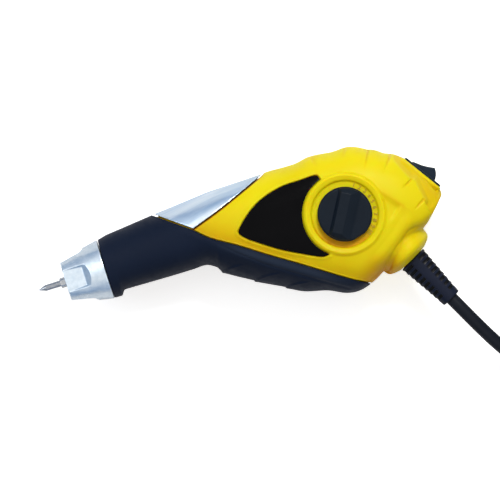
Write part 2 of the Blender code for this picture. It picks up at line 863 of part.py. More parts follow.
def screw_holes(side):
    """Pilot holes on the dial side, through holes and head wells on the other."""
    made = []
    for share in HOUSING_SCREW_SHARES:
        place = plan(share)
        hole = SCREW_RADIUS + GAP
        if side > 0:
            top = SCREW_SEAT_Z + SCREW_LENGTH + GAP
            made.append(post("pilot", *place, MIDDLE_Z - OVERRUN, top, hole, SCREW_ROUND))
        else:
            start = SCREW_SEAT_Z - OVERRUN
            through = post("through", *place, start, MIDDLE_Z + OVERRUN, hole, SCREW_ROUND)
            well = post("well", *place, -OVERRUN, SCREW_SEAT_Z, SCREW_HEAD_RADIUS + GAP)
            made.append(union(well, through))
    if side < 0:
        low = CLAMP_POST_TOP - CLAMP_SCREW_LENGTH
        for place in clamp_places():
            hole = CLAMP_SCREW_RADIUS + GAP
            made.append(post("hole", *place, low, MIDDLE_Z + OVERRUN, hole, SCREW_ROUND))
        bore = DIAL_SHAFT_RADIUS + RUNNING_GAP
        made.append(post("bore", *DIAL, SHAFT_FOOT_Z - GAP, MIDDLE_Z, bore))
    return joined(made)


def switch_opening():
    half_length = SWITCH_BODY_LENGTH / 2 + GAP
    half_width = SWITCH_BODY_WIDTH / 2 + GAP
    low = (-half_length, -SWITCH_BODY_DEPTH, -half_width)
    high = (half_length, OVERRUN, half_width)
    opening = box("opening", low, high)
    rim_length = BEZEL_LENGTH / 2 + GAP
    rim_width = BEZEL_WIDTH / 2 + GAP
    rim = box("rim", (-rim_length, -BEZEL_SINK, -rim_width), (rim_length, OVERRUN, rim_width))
    return put_in(union(opening, rim), FRAMES["deck"])


def boot_opening():
    neck = BOOT_NECK_RADIUS + GAP
    return put_in(rod("mouth", -BOSS_WALL - OVERRUN, OVERRUN, neck), FRAMES["boss"])


def shell(side):
    """One yellow half: the moulded body, hollowed, with its seats and posts."""
    low, high = half_heights(side)
    half = body_solid()
    union(half, deck_block())
    union(half, boss_bulb())
    if side > 0:
        union(half, lip_ring())
    cut(half, deck_trim())
    top = high + OVERRUN if side > 0 else high
    keep_inside(half, box("side", (-BODY_LENGTH, -BODY_HEIGHT, low), (BODY_LENGTH, BODY_HEIGHT, top)))
    cut(half, cavity_solid(WALL))
    cut(half, boss_room())
    union(half, posts(side))
    cut(half, skin_seat([grip_outline(), top_outline()], whole_heights(), SKIN))
    if side > 0:
        cut(half, skin_seat([panel_outline()], half_heights(1), PANEL_SKIN))
        cut(half, upright(rod("dish", DISH_Z, TOP_FACE_Z + OVERRUN, DISH_RADIUS, LIP_STEPS), DIAL))
        bore = DIAL_SHAFT_RADIUS + RUNNING_GAP
        cut(half, post("bore", *DIAL, MIDDLE_Z, TOP_FACE_Z, bore))
    cut(half, screw_holes(side))
    cut(half, switch_opening())
    cut(half, boot_opening())
    return half


def grip_half(side):
    half = skin_piece(offset_outline(grip_outline(), -GAP / 2), half_heights(side), SKIN)
    if side < 0:
        share = HOUSING_SCREW_SHARES[0]
        cut(half, post("well", *plan(share), -OVERRUN, MIDDLE_Z - GAP, SCREW_HEAD_RADIUS + GAP))
    return half


def make_housing(colours, root):
    finish(shell(1), "housing_left", colours["yellow"], root)
    finish(shell(-1), "housing_right", colours["yellow"], root)
    finish(grip_half(1), "soft_grip_left", colours["rubber"], root)
    finish(grip_half(-1), "soft_grip_right", colours["rubber"], root)
    top = skin_piece(offset_outline(top_outline(), -GAP / 2), whole_heights(), SKIN)
    finish(top, "top_panel", colours["silver"], root)
    side = skin_piece(offset_outline(panel_outline(), -GAP / 2), half_heights(1), PANEL_SKIN)
    finish(side, "side_panel", colours["panel"], root)


def make_nose(colours, root):
    """The turned nose cone with its scooped flats, spigot and bush."""
    spigot = SPIGOT_RADIUS
    bore = BUSH_RADIUS + GAP
    front = -NOSE_LENGTH
    wall = NOSE_HOLE_RADIUS
    profile = [
        (front, NOSE_HOLE_RADIUS),
        (front, NOSE_FRONT_RADIUS),
        (-NOSE_RIM, SEAT_RADIUS),
        (-GAP, SEAT_RADIUS),
        (-GAP, spigot),
        (SPIGOT_LENGTH, spigot),
        (SPIGOT_LENGTH, bore),
        (SPIGOT_LENGTH - BUSH_LENGTH - GAP, bore),
        (SPIGOT_LENGTH - BUSH_LENGTH - GAP, wall),
    ]
    cone = put_in(turned("nose", profile, NOSE_STEPS), FRAMES["stroke"])
    for index in range(SCOOP_COUNT):
        cut(cone, scoop(index))
    finish(cone, "nose_cone", colours["aluminium"], root)
    inner = SHAFT_RADIUS + RUNNING_GAP
    bush = tube("bush", SPIGOT_LENGTH - BUSH_LENGTH, SPIGOT_LENGTH, BUSH_RADIUS, inner)
    finish(put_in(bush, FRAMES["stroke"]), "nose_bush", colours["bronze"], root)


def cone_radius(along):
    """The nose's radius at a place behind its front face."""
    slope = (SEAT_RADIUS - NOSE_FRONT_RADIUS) / (NOSE_LENGTH - NOSE_RIM)
    return NOSE_FRONT_RADIUS + slope * along


def scoop(index):
    """A cutter for one flat on the cone, which deepens toward its sloped end wall."""
    floor_length = SCOOP_LENGTH - SCOOP_WALL_LENGTH
    front = NOSE_FRONT_RADIUS - SCOOP_FRONT_DEPTH
    rear = cone_radius(floor_length) - SCOOP_REAR_DEPTH
    fall = (rear - front) / floor_length * OVERRUN
    rise = cone_radius(SCOOP_LENGTH) - rear
    rows = [
        (-OVERRUN, front - fall, SCOOP_HALF_WIDTH),
        (floor_length, rear, SCOOP_HALF_WIDTH),
        (
            floor_length + SCOOP_WALL_LENGTH * SCOOP_PAST_SHARE,
            rear + rise * SCOOP_PAST_SHARE,
            SCOOP_HALF_WIDTH + SCOOP_WALL_SPREAD * SCOOP_PAST_SHARE,
        ),
    ]
    sections = []
    for along, floor, half in rows:
        place = along - NOSE_LENGTH
        wide = half + SCOOP_SIDE_RUN
        top = floor + SCOOP_SIDE_RISE
        corners = [(-half, floor), (half, floor), (wide, top), (-wide, top)]
        sections.append([(place, y, z) for y, z in corners])
    block = lofted("scoop", sections)
    turn = math.tau * index / SCOOP_COUNT
    block.matrix_world = Matrix.Rotation(turn, 4, "X")
    return put_in(block, FRAMES["stroke"])


def make_striker(colours, body):
    """Everything that strikes: needle, shaft, spring washer and plunger."""
    place = FRAMES["stroke"]
    holder = -NOSE_LENGTH - HOLDER_REACH
    tip = holder - NEEDLE_REACH
    profile = [
        (tip, 0),
        (tip, NEEDLE_POINT_RADIUS),
        (tip + NEEDLE_POINT_LENGTH, NEEDLE_RADIUS),
        (holder + NEEDLE_SEAT_DEPTH, NEEDLE_RADIUS),
        (holder + NEEDLE_SEAT_DEPTH, 0),
    ]
    needle = put_in(turned("needle", profile, SMALL_ROUND), place)
    finish(needle, "engraving_needle", colours["carbide"], body)
    make_shaft(colours, body, holder)
    washer_back = SPIGOT_LENGTH + SPRING_LENGTH + GAP
    washer = tube(
        "washer",
        washer_back,
        washer_back + SPRING_WASHER_THICKNESS,
        SPRING_WASHER_RADIUS,
        SHAFT_RADIUS + RUNNING_GAP,
    )
    finish(put_in(washer, place), "spring_washer", colours["steel"], body)
    make_plunger(colours, body)


def make_shaft(colours, body, holder):
    place = FRAMES["stroke"]
    end = MAGNET_FRONT + PLUNGER_SOCKET_DEPTH - PLUNGER_FRONT_LEAD - GAP
    collar = SPIGOT_LENGTH + SPRING_LENGTH + GAP + SPRING_WASHER_THICKNESS + GAP
    profile = [
        (holder, 0),
        (holder, SHAFT_RADIUS),
        (collar, SHAFT_RADIUS),
        (collar, COLLAR_RADIUS),
        (collar + COLLAR_LENGTH, COLLAR_RADIUS),
        (collar + COLLAR_LENGTH, SHAFT_RADIUS),
        (end, SHAFT_RADIUS),
        (end, 0),
    ]
    shaft = put_in(turned("shaft", profile), place)
    depth = holder + NEEDLE_SEAT_DEPTH + GAP
    socket = rod("socket", holder - OVERRUN, depth, NEEDLE_RADIUS + RUNNING_GAP, SMALL_ROUND)
    cut(shaft, put_in(socket, place))
    screw = holder + SET_SCREW_BACK
    start = NEEDLE_RADIUS * HOLE_START_SHARE
    bore = SET_SCREW_RADIUS + RUNNING_GAP
    hole = rod("hole", start, SHAFT_RADIUS + OVERRUN, bore, SCREW_ROUND)
    cut(shaft, put_in(stood_at(hole, screw), place))
    finish(shaft, "drive_shaft", colours["steel"], body)
    pin = rod("pin", NEEDLE_RADIUS + GAP, SHAFT_RADIUS, SET_SCREW_RADIUS, SCREW_ROUND)
    finish(put_in(stood_at(pin, screw), place), "needle_set_screw", colours["steel"], body)


def stood_at(thing, along):
    """Stand a rod that was turned about X up along Z, at a place on the axis."""
    thing.matrix_world = Matrix.Translation((along, 0, 0)) @ Matrix.Rotation(-math.pi / 2, 4, "Y")
    return thing


def make_plunger(colours, body):
    place = FRAMES["stroke"]
    front = MAGNET_FRONT - PLUNGER_FRONT_LEAD
    back = front + PLUNGER_LENGTH
    stop = stop_distance()
    profile = [
        (front, 0),
        (front, PLUNGER_RADIUS),
        (back, PLUNGER_RADIUS),
        (back, STOP_ROD_RADIUS),
        (stop, STOP_ROD_RADIUS),
        (stop, 0),
    ]
    plunger = put_in(turned("plunger", profile), place)
    socket = rod("socket", front - OVERRUN, front + PLUNGER_SOCKET_DEPTH, SHAFT_RADIUS + RUNNING_GAP)
    cut(plunger, put_in(socket, place))
    finish(plunger, "plunger", colours["iron"], body)


def stop_distance():
    """Where the plunger's stop rod ends, just short of the cam's rim."""
    offset = DIAL - SEAT
    axis = direction(AXIS_TILT)
    along = offset.dot(axis)
    aside = abs(axis.cross(offset)) - STOP_ROD_RADIUS
    return along - math.sqrt(CAM_RADIUS**2 - aside**2) - GAP


def make_spring(colours, root):
    """The return spring, one unbroken wire with flat-lying end turns."""
    count = SPRING_TURNS * SPRING_TURN_POINTS
    start = SPIGOT_LENGTH + GAP + SPRING_WIRE / 2
    travel = SPRING_LENGTH - SPRING_WIRE - GAP
    points = []
    for index in range(count + 1):
        turn = math.tau * index / SPRING_TURN_POINTS
        along = start + travel * index / count
        points.append((along, SPRING_RADIUS * math.cos(turn), SPRING_RADIUS * math.sin(turn)))
    spring = curve_tube("return_spring", points, SPRING_WIRE / 2, 1, colours["steel"])
    put_in(spring, FRAMES["stroke"])
    spring.parent = root
    spring.matrix_parent_inverse = root.matrix_world.inverted()


def make_magnet(colours, root):
    """The yoke, its bobbin and the winding."""
    place = FRAMES["stroke"]
    inside = BOBBIN_RADIUS + GAP
    outside = inside + MAGNET_LEG
    half = MAGNET_HALF_HEIGHT
    back = MAGNET_FRONT + MAGNET_LENGTH
    yoke = box("yoke", (MAGNET_FRONT, -half, -outside), (back, half, outside))
    window_front = MAGNET_FRONT + MAGNET_PLATE
    window_back = back - MAGNET_PLATE
    reach = half + OVERRUN
    cut(yoke, box("window", (window_front, -reach, -inside), (window_back, reach, inside)))
    hole = PLUNGER_RADIUS + GAP
    cut(yoke, rod("hole", MAGNET_FRONT - OVERRUN, window_front + OVERRUN, hole))
    cut(yoke, rod("hole", window_back - OVERRUN, back + OVERRUN, hole))
    finish(put_in(yoke, place), "magnet_yoke", colours["iron"], root)
    flange_front = window_front + GAP
    flange_back = window_back - GAP
    sleeve = PLUNGER_RADIUS + GAP
    barrel = sleeve + BOBBIN_TUBE_WALL
    profile = [
        (flange_front, sleeve),
        (flange_front, BOBBIN_RADIUS),
        (flange_front + BOBBIN_FLANGE, BOBBIN_RADIUS),
        (flange_front + BOBBIN_FLANGE, barrel),
        (flange_back - BOBBIN_FLANGE, barrel),
        (flange_back - BOBBIN_FLANGE, BOBBIN_RADIUS),
        (flange_back, BOBBIN_RADIUS),
        (flange_back, sleeve),
    ]
    bobbin = put_in(turned("bobbin", profile), place)
    finish(bobbin, "coil_bobbin", colours["nylon"], root)
    wound_front = flange_front + BOBBIN_FLANGE + GAP
    wound_back = flange_back - BOBBIN_FLANGE - GAP
    middle = (wound_front + wound_back) / 2
    profile = [
        (wound_front, barrel + GAP),
        (wound_front, WINDING_RADIUS - WINDING_CROWN),
        (middle, WINDING_RADIUS),
        (wound_back, WINDING_RADIUS - WINDING_CROWN),
        (wound_back, barrel + GAP),
    ]
    winding = put_in(turned("winding", profile), place)
    finish(winding, "coil_winding", colours["copper"], root)


def knob_outline(steps=ROUND + ROUND):
    """The knob's round outline with its one flat."""
    points = []
    for step in range(steps):
        angle = math.tau * step / steps
        aside = KNOB_RADIUS * math.cos(angle - KNOB_FLAT_ANGLE)
        radius = KNOB_RADIUS
        if aside > KNOB_FLAT_DISTANCE:
            radius = KNOB_FLAT_DISTANCE / math.cos(angle - KNOB_FLAT_ANGLE)
        points.append(DIAL + direction(angle) * radius)
    return points


def make_dial(colours, body):
    """Knob, shaft, friction washer and the cam that sets the stroke."""
    outline = knob_outline()
    rim = offset_outline(outline, -KNOB_EDGE)
    levels = [
        (outline, KNOB_Z),
        (outline, KNOB_FACE_Z - KNOB_EDGE),
        (rim, KNOB_FACE_Z),
    ]
    knob = lofted("knob", [[(p.x, p.y, z) for p in ring] for ring, z in levels])
    union(knob, knob_bar())
    bore = DIAL_SHAFT_RADIUS + RUNNING_GAP
    cut(knob, post("socket", *DIAL, KNOB_Z - OVERRUN, KNOB_Z + KNOB_SOCKET_DEPTH, bore))
    finish(knob, "dial_knob", colours["knob"], body)
    shaft = post("shaft", *DIAL, SHAFT_FOOT_Z, SHAFT_TOP_Z, DIAL_SHAFT_RADIUS)
    finish(shaft, "dial_shaft", colours["steel"], body)
    inner = DIAL_SHAFT_RADIUS + RUNNING_GAP
    washer = tube("washer", WASHER_Z, WASHER_Z + WASHER_THICKNESS, WASHER_RADIUS, inner)
    finish(upright(washer, DIAL), "friction_washer", colours["nylon"], body)
    low = MIDDLE_Z - CAM_THICKNESS / 2
    cam = prism("cam", [tuple(p) for p in cam_outline()], low, low + CAM_THICKNESS)
    cut(cam, post("bore", *DIAL, 0, TOP_FACE_Z, inner))
    finish(cam, "stroke_cam", colours["nylon"], body)


def knob_bar():
    """The raised finger bar across the knob, with sloped ends."""
    half = KNOB_BAR_WIDTH / 2
    reach = KNOB_RADIUS - KNOB_EDGE
    foot = [(-half, -reach), (half, -reach), (half, reach), (-half, reach)]
    narrow = half - KNOB_BAR_TAPER
    short = reach - KNOB_BAR_HEIGHT * KNOB_BAR_END_SHARE
    crest = [(-narrow, -short), (narrow, -short), (narrow, short), (-narrow, short)]
    low = -KNOB_DISC_HEIGHT / 2
    sections = [
        [(x, y, low) for x, y in foot],
        [(x, y, 0) for x, y in foot],
        [(x, y, KNOB_BAR_HEIGHT) for x, y in crest],
    ]
    bar = lofted("bar", sections)
    turn = Matrix.Rotation(KNOB_TILT, 4, "Z")
    bar.matrix_world = Matrix.Translation((DIAL.x, DIAL.y, KNOB_FACE_Z)) @ turn
    rim = [tuple(p) for p in offset_outline(knob_outline(), -KNOB_EDGE)]
    return keep_inside(bar, prism("rim", rim, KNOB_Z, KNOB_FACE_Z + KNOB_BAR_HEIGHT + OVERRUN))


def cam_outline():
    """The snail cam: it falls away as the dial turns clockwise from rest."""
    axis = direction(AXIS_TILT)
    offset = DIAL - SEAT
    aside = abs(axis.cross(offset))
    contact = AXIS_TILT + math.pi - math.asin(aside / CAM_RADIUS)
    points = []
    for step in range(CAM_STEPS):
        turned_by = math.tau * step / CAM_STEPS
        way = (turned_by - CAM_MARGIN) / DIAL_TRAVEL
        full = (math.tau - CAM_MARGIN - turned_by) / (math.tau - DIAL_TRAVEL - CAM_MARGIN)
        drop = CAM_DROP * max(0.0, min(way, 1.0, full))
        points.append(DIAL + direction(contact + turned_by) * (CAM_RADIUS - drop))
    return points


def make_switch(colours, root, body):
    """The snap-in rocker switch: bezel and case, terminals and rocker."""
    place = FRAMES["deck"]
    low = BEZEL_TOP - BEZEL_HEIGHT
    half_length = BEZEL_LENGTH / 2
    half_width = BEZEL_WIDTH / 2
    bezel = box("bezel", (-half_length, low, -half_width), (half_length, BEZEL_TOP, half_width))
    half_length = SWITCH_BODY_LENGTH / 2
    half_width = SWITCH_BODY_WIDTH / 2
    foot = (-half_length, GAP - SWITCH_BODY_DEPTH, -half_width)
    union(bezel, box("case", foot, (half_length, BEZEL_TOP - BEZEL_HEIGHT / 2, half_width)))
    half_window = SWITCH_WINDOW_LENGTH / 2
    half_gap = SWITCH_WINDOW_WIDTH / 2
    window = box(
        "window",
        (-half_window, BEZEL_TOP - SWITCH_POCKET_DEPTH, -half_gap),
        (half_window, BEZEL_TOP + OVERRUN, half_gap),
    )
    cut(bezel, window)
    finish(put_in(bezel, place), "switch_case", colours["switch"], root)
    for index in range(2):
        side = index * 2 - 1
        middle = side * TERMINAL_SPACING / 2
        half = TERMINAL_THICKNESS / 2
        width = TERMINAL_WIDTH / 2
        tab = box(
            "tab",
            (middle - half, -SWITCH_BODY_DEPTH - TERMINAL_LENGTH, -width),
            (middle + half, -SWITCH_BODY_DEPTH, width),
        )
        finish(put_in(tab, place), f"switch_terminal_{index + 1}", colours["brass"], root)
    outline = rocker_outline()
    rocker = prism("rocker", outline, -ROCKER_WIDTH / 2, ROCKER_WIDTH / 2)
    finish(put_in(rocker, FRAMES["rocker"]), "switch_rocker", colours["switch"], body)


def rocker_outline():
    """The rocker's side profile about its pivot, tilted to its rest state."""
    points = []
    for side in (1, -1):
        arc = []
        for step in range(ROCKER_ARC_STEPS + 1):
            angle = ROCKER_SKIRT + (ROCKER_CORNER - ROCKER_SKIRT) * step / ROCKER_ARC_STEPS
            arc.append((side * ROCKER_RADIUS * math.cos(angle), ROCKER_RADIUS * math.sin(angle)))
        points += arc if side > 0 else arc[::-1]
        if side > 0:
            points.append((0, ROCKER_VALLEY))
    points.append((0, -ROCKER_FLOOR))
    cosine = math.cos(ROCKER_TILT)
    sine = math.sin(ROCKER_TILT)
    return [(x * cosine - y * sine, x * sine + y * cosine) for x, y in points]


def boot_radius(along):
    way = along / BOOT_LENGTH
    return BOOT_RADIUS + (BOOT_END_RADIUS - BOOT_RADIUS) * way


def boot_core():
    """The flattened core that the slots stop at: shallow at the sides, deep beside the spine."""
    profile = [
        (-GAP, 0),
        (-GAP, boot_radius(-GAP) - BOOT_SLOT_DEPTH),
        (BOOT_LENGTH, BOOT_END_RADIUS - BOOT_SLOT_DEPTH),
        (BOOT_LENGTH, 0),
    ]
    core = turned("flat_core", profile)
    core.data.transform(Matrix.Diagonal((1, 1, BOOT_CORE_FLAT_SHARE, 1)))
    return core


def make_boot(colours, root):
    """The tapered strain relief with its rows of slots, and the cord inside."""
    place = FRAMES["boss"]
    bore = CORD_RADIUS + GAP
    back = -BOSS_WALL - GAP
    profile = [
        (back - BOOT_FLANGE, bore),
        (back - BOOT_FLANGE, BOOT_FLANGE_RADIUS),
        (back, BOOT_FLANGE_RADIUS),
        (back, BOOT_NECK_RADIUS),
        (GAP, BOOT_NECK_RADIUS),
        (GAP, BOOT_RADIUS),
        (BOOT_LENGTH - BOOT_RING, boot_radius(BOOT_LENGTH - BOOT_RING)),
        (BOOT_LENGTH, BOOT_END_RADIUS),
        (BOOT_LENGTH, bore),
    ]
    boot = turned("boot", profile)
    slots = []
    pitch = (BOOT_LENGTH - BOOT_RING - BOOT_SLOT) / BOOT_SLOT_ROWS
    for row in range(BOOT_SLOT_ROWS):
        start = BOOT_SLOT + row * pitch
        for side in (1, -1):
            near = side * BOOT_SPINE_HALF_WIDTH
            far = side * (BOOT_RADIUS + OVERRUN)
            low = (start, min(near, far), -BOOT_RADIUS - OVERRUN)
            high = (start + BOOT_SLOT, max(near, far), BOOT_RADIUS + OVERRUN)
            slots.append(box("slot", low, high))
    slots = joined(slots)
    cut(slots, rod("core", 0, BOOT_LENGTH, BOOT_CORE_RADIUS))
    cut(slots, boot_core())
    cut(boot, slots)
    finish(put_in(boot, place), "strain_relief", colours["cord"], root)
    lead = put_in(rod("lead", -LEAD_INSET, BOOT_LENGTH, CORD_RADIUS, SCREW_ROUND), place)
    finish(lead, "supply_lead", colours["cord"], root)


def make_clamp(colours, root):
    """The bar that holds the cord down, and its two screws."""
    low = MIDDLE_Z + CORD_RADIUS + GAP
    high = low + CLAMP_THICKNESS
    half_width = CLAMP_WIDTH / 2
    half_length = CLAMP_LENGTH / 2
    bar = box(
        "bar",
        (-CLAMP_BACK - half_width, -half_length, low - MIDDLE_Z),
        (-CLAMP_BACK + half_width, half_length, high - MIDDLE_Z),
    )
    put_in(bar, FRAMES["boss"])
    for place in clamp_places():
        hole = CLAMP_SCREW_RADIUS + GAP
        cut(bar, post("hole", *place, MIDDLE_Z, high + OVERRUN, hole, SCREW_ROUND))
    finish(bar, "cord_clamp", colours["nylon"], root)
    for index, place in enumerate(clamp_places()):
        seat = high + GAP
        foot = seat - CLAMP_SCREW_LENGTH
        top = seat + CLAMP_HEAD_HEIGHT
        profile = [
            (foot, 0),
            (foot, CLAMP_SCREW_RADIUS),
            (seat, CLAMP_SCREW_RADIUS),
            (seat, CLAMP_HEAD_RADIUS),
            (top, CLAMP_HEAD_RADIUS),
            (top, 0),
        ]
        screw = upright(turned("screw", profile, SCREW_ROUND), place)
        finish(screw, f"clamp_screw_{index + 1}", colours["steel"], root)


def make_housing_screws(colours, root):
    """Four screws, put in from the hidden side, that close the housing."""
    head = SCREW_SEAT_Z - GAP - SCREW_HEAD_HEIGHT
    seat = SCREW_SEAT_Z - GAP
    end = SCREW_SEAT_Z + SCREW_LENGTH
    for index, share in enumerate(HOUSING_SCREW_SHARES):
        profile = [
            (head, 0),
            (head, SCREW_HEAD_RADIUS),
            (seat, SCREW_HEAD_RADIUS),
            (seat, SCREW_RADIUS),
            (end, SCREW_RADIUS),
            (end, 0),
        ]
        screw = turned("screw", profile, SCREW_ROUND)
        drive = rod("drive", head - OVERRUN, head + SCREW_DRIVE_DEPTH, SCREW_DRIVE_RADIUS, 4)
        cut(screw, drive)
        upright(screw, plan(share))
        finish(screw, f"housing_screw_{index + 1}", colours["steel"], root)


def curve_tube(name, points, radius, resolution, made_of):
    """A round tube along a list of points, with its ends closed."""
    curve = bpy.data.curves.new(name, "CURVE")
    curve.dimensions = "3D"
    curve.bevel_depth = radius
    curve.bevel_resolution = resolution
    curve.use_fill_caps = True
    line = curve.splines.new("POLY")
    line.points.add(len(points) - 1)
    for index, point in enumerate(points):
        line.points[index].co = (*point, 1)
    made = bpy.data.objects.new(name, curve)
    bpy.context.scene.collection.objects.link(made)
    curve.materials.append(made_of)
    return made


def coil_heading():
    """The way the free stretch points where it meets the coil."""
    before, last = [Vector(place[0:2]) for place in FREE_ROUTE[-2:]]
    return (last - before).normalized()


def coil_start_angle():
    """Where the coil starts, so that its first turn goes on along the heading."""
    heading = coil_heading()
    closing = math.atan2(COIL_PITCH / math.tau, COIL_OUTER)
    return math.atan2(heading.y, heading.x) - math.pi / 2 - closing


def eased(way):
    way = min(max(way, 0.0), 1.0)
    return way * way * (3 - 2 * way)


def coil_place(turns):
    """A point of the coil after so many turns: in below, out above."""
    heading = coil_heading()
    start = coil_start_angle()
    first = Vector(FREE_ROUTE[-1][0:2]) + heading * (GAP + COIL_RUN_IN)
    centre = first - direction(start) * COIL_OUTER
    half = COIL_TURNS / 2
    radius = COIL_INNER + COIL_PITCH * abs(turns - half)
    spot = centre + direction(start + math.tau * turns) * radius
    climb = eased((turns - half) / CLIMB_TURNS + 1 / 2)
    return Vector((spot.x, spot.y, CORD_LAY + COIL_PITCH * climb))


def coil_points():
    """The whole coil, with a straight run in and a straight tail out."""
    steps = round(COIL_TURNS * COIL_TURN_POINTS)
    loops = [coil_place(COIL_TURNS * step / steps) for step in range(steps + 1)]
    inward = coil_heading().to_3d()
    run_in = [loops[0] - inward * COIL_RUN_IN * (1 - share) for share in RUN_IN_SHARES]
    outward = (loops[-1] - loops[-2]).normalized()
    tail = []
    for share in TAIL_SHARES:
        place = loops[-1] + outward * COIL_TAIL * share
        place.z += (PLUG_AXIS_Z - place.z) * eased(share / TAIL_LANDED_SHARE)
        tail.append(place)
    return run_in + loops + tail


def free_points():
    """Points read from a smooth curve through the free stretch's own points."""
    return [Vector(row) for row in smooth_rows(FREE_ROUTE, FREE_SPLIT_COUNT)]


def least_gap(points):
    """The least clear distance between turns of the coil, measured on points."""
    least = COIL_OUTER
    near = COIL_TURN_POINTS // 2
    for first, place in enumerate(points):
        for second in range(first + near, len(points)):
            least = min(least, (points[second] - place).length)
    return least - CORD_RADIUS - CORD_RADIUS


def path_length(points):
    return sum((after - before).length for before, after in zip(points, points[1:]))


def make_cord(colours):
    free = free_points()
    coil = coil_points()
    curve_tube("cord_free", free, CORD_RADIUS, 2, colours["cord"])
    curve_tube("cord_coil", coil, CORD_RADIUS, 1, colours["cord"])
    print(f"least gap of the coil to itself: {least_gap(coil):.5f} m")
    print(f"length free {path_length(free):.4f} m, coil {path_length(coil):.4f} m")
    print(f"coil outer radius {COIL_OUTER + CORD_RADIUS:.4f} m")
    make_plug(colours, coil)


def make_plug(colours, coil):
    """A two-pin plug that lies beside the coil."""
    heading = coil[-1] - coil[-2]
    turn = math.atan2(heading.y, heading.x)
    start = coil[-1] + heading.normalized() * GAP
    place = frame_at("plug_axis", start.x, start.y, PLUG_AXIS_Z, turn)
    bpy.context.view_layer.update()
    shoulder = PLUG_LENGTH * PLUG_SHOULDER_SHARE
    neck = PLUG_LENGTH * PLUG_NECK_SHARE
    half = PLUG_WIDTH / 2
    thin = PLUG_NECK_WIDTH / 2
    corner = PLUG_EDGE
    outline = [
        (0, -thin + corner),
        (neck, -thin),
        (shoulder, -half),
        (PLUG_LENGTH - corner, -half),
        (PLUG_LENGTH, -half + corner),
        (PLUG_LENGTH, half - corner),
        (PLUG_LENGTH - corner, half),
        (shoulder, half),
        (neck, thin),
        (0, thin - corner),
    ]
    inner = [tuple(p) for p in offset_outline([Vector(p) for p in outline], -PLUG_EDGE)]
    high = PLUG_HEIGHT / 2
    wide = high - PLUG_EDGE
    levels = [(inner, -high), (outline, -wide), (outline, wide), (inner, high)]
    body = lofted("plug", [[(x, y, z) for x, y in ring] for ring, z in levels])
    finish(put_in(body, place), "plug_body", colours["cord"])
    for index in range(2):
        side = (index * 2 - 1) * PIN_SPACING / 2
        base = PLUG_LENGTH + GAP
        end = base + PIN_LENGTH
        profile = [
            (base, 0),
            (base, PIN_RADIUS),
            (end - PIN_TIP, PIN_RADIUS),
            (end, PIN_RADIUS - PIN_TIP),
            (end, 0),
        ]
        pin = turned("pin", profile, SCREW_ROUND)
        pin.matrix_world = Matrix.Translation((0, side, 0))
        finish(put_in(pin, place), f"plug_pin_{index + 1}", colours["brass"])


def all_colours():
    return {
        "yellow": material("yellow_plastic", (0.80, 0.58, 0.01), 0.35),
        "rubber": material("blue_black_rubber", (0.012, 0.016, 0.032), 0.65),
        "silver": material("silver_paint", (0.75, 0.79, 0.83), 0.30, 0.6),
        "panel": material("black_panel", (0.004, 0.004, 0.005), 0.30),
        "aluminium": material("turned_aluminium", (0.70, 0.77, 0.82), 0.32, 0.9),
        "bronze": material("sintered_bronze", (0.50, 0.32, 0.14), 0.45, 0.9),
        "carbide": material("carbide", (0.25, 0.25, 0.26), 0.25, 1.0),
        "steel": material("bright_steel", (0.55, 0.56, 0.58), 0.30, 1.0),
        "iron": material("soft_iron", (0.22, 0.22, 0.23), 0.45, 0.9),
        "copper": material("enamelled_copper", (0.50, 0.17, 0.05), 0.35, 0.8),
        "nylon": material("natural_nylon", (0.75, 0.73, 0.66), 0.50),
        "knob": material("black_knob", (0.012, 0.019, 0.034), 0.40),
        "switch": material("black_switch", (0.020, 0.034, 0.042), 0.35),
        "brass": material("nickelled_brass", (0.62, 0.58, 0.48), 0.30, 1.0),
        "cord": material("black_cord", (0.010, 0.012, 0.018), 0.50),
    }


def make_frames():
    """Local frames: the stroke axis, the dial, the switch deck and the cord's exit."""
    FRAMES["stroke"] = frame_at("stroke_axis", *SEAT, MIDDLE_Z, AXIS_TILT)
    FRAMES["dial"] = frame_at("dial_axis", *DIAL, MIDDLE_Z, 0)
    FRAMES["deck"] = frame_at("deck_axis", *DECK_MIDDLE, MIDDLE_Z, DECK_TURN)
    pivot = DECK_MIDDLE + direction(DECK_TURN + math.pi / 2) * (BEZEL_TOP - ROCKER_PIVOT_DEPTH)
    FRAMES["rocker"] = frame_at("rocker_axis", *pivot, MIDDLE_Z, DECK_TURN)
    FRAMES["boss"] = frame_at("cord_axis", *BOSS_FACE, MIDDLE_Z, BOSS_TILT)
    FRAMES["root"] = frame_at("pen", 0, 0, 0, 0)
    bpy.context.view_layer.update()


def main():
    clear_scene()
    make_frames()
    colours = all_colours()
    root = FRAMES["root"]
    make_housing(colours, root)
    make_nose(colours, root)
    make_striker(colours, FRAMES["stroke"])
    make_spring(colours, root)
    make_magnet(colours, root)
    make_dial(colours, FRAMES["dial"])
    make_switch(colours, root, FRAMES["rocker"])
    make_boot(colours, root)
    make_clamp(colours, root)
    make_housing_screws(colours, root)
    make_cord(colours)


main()
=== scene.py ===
import math

import bmesh
import bpy
import numpy as np
from mathutils import Matrix, Vector


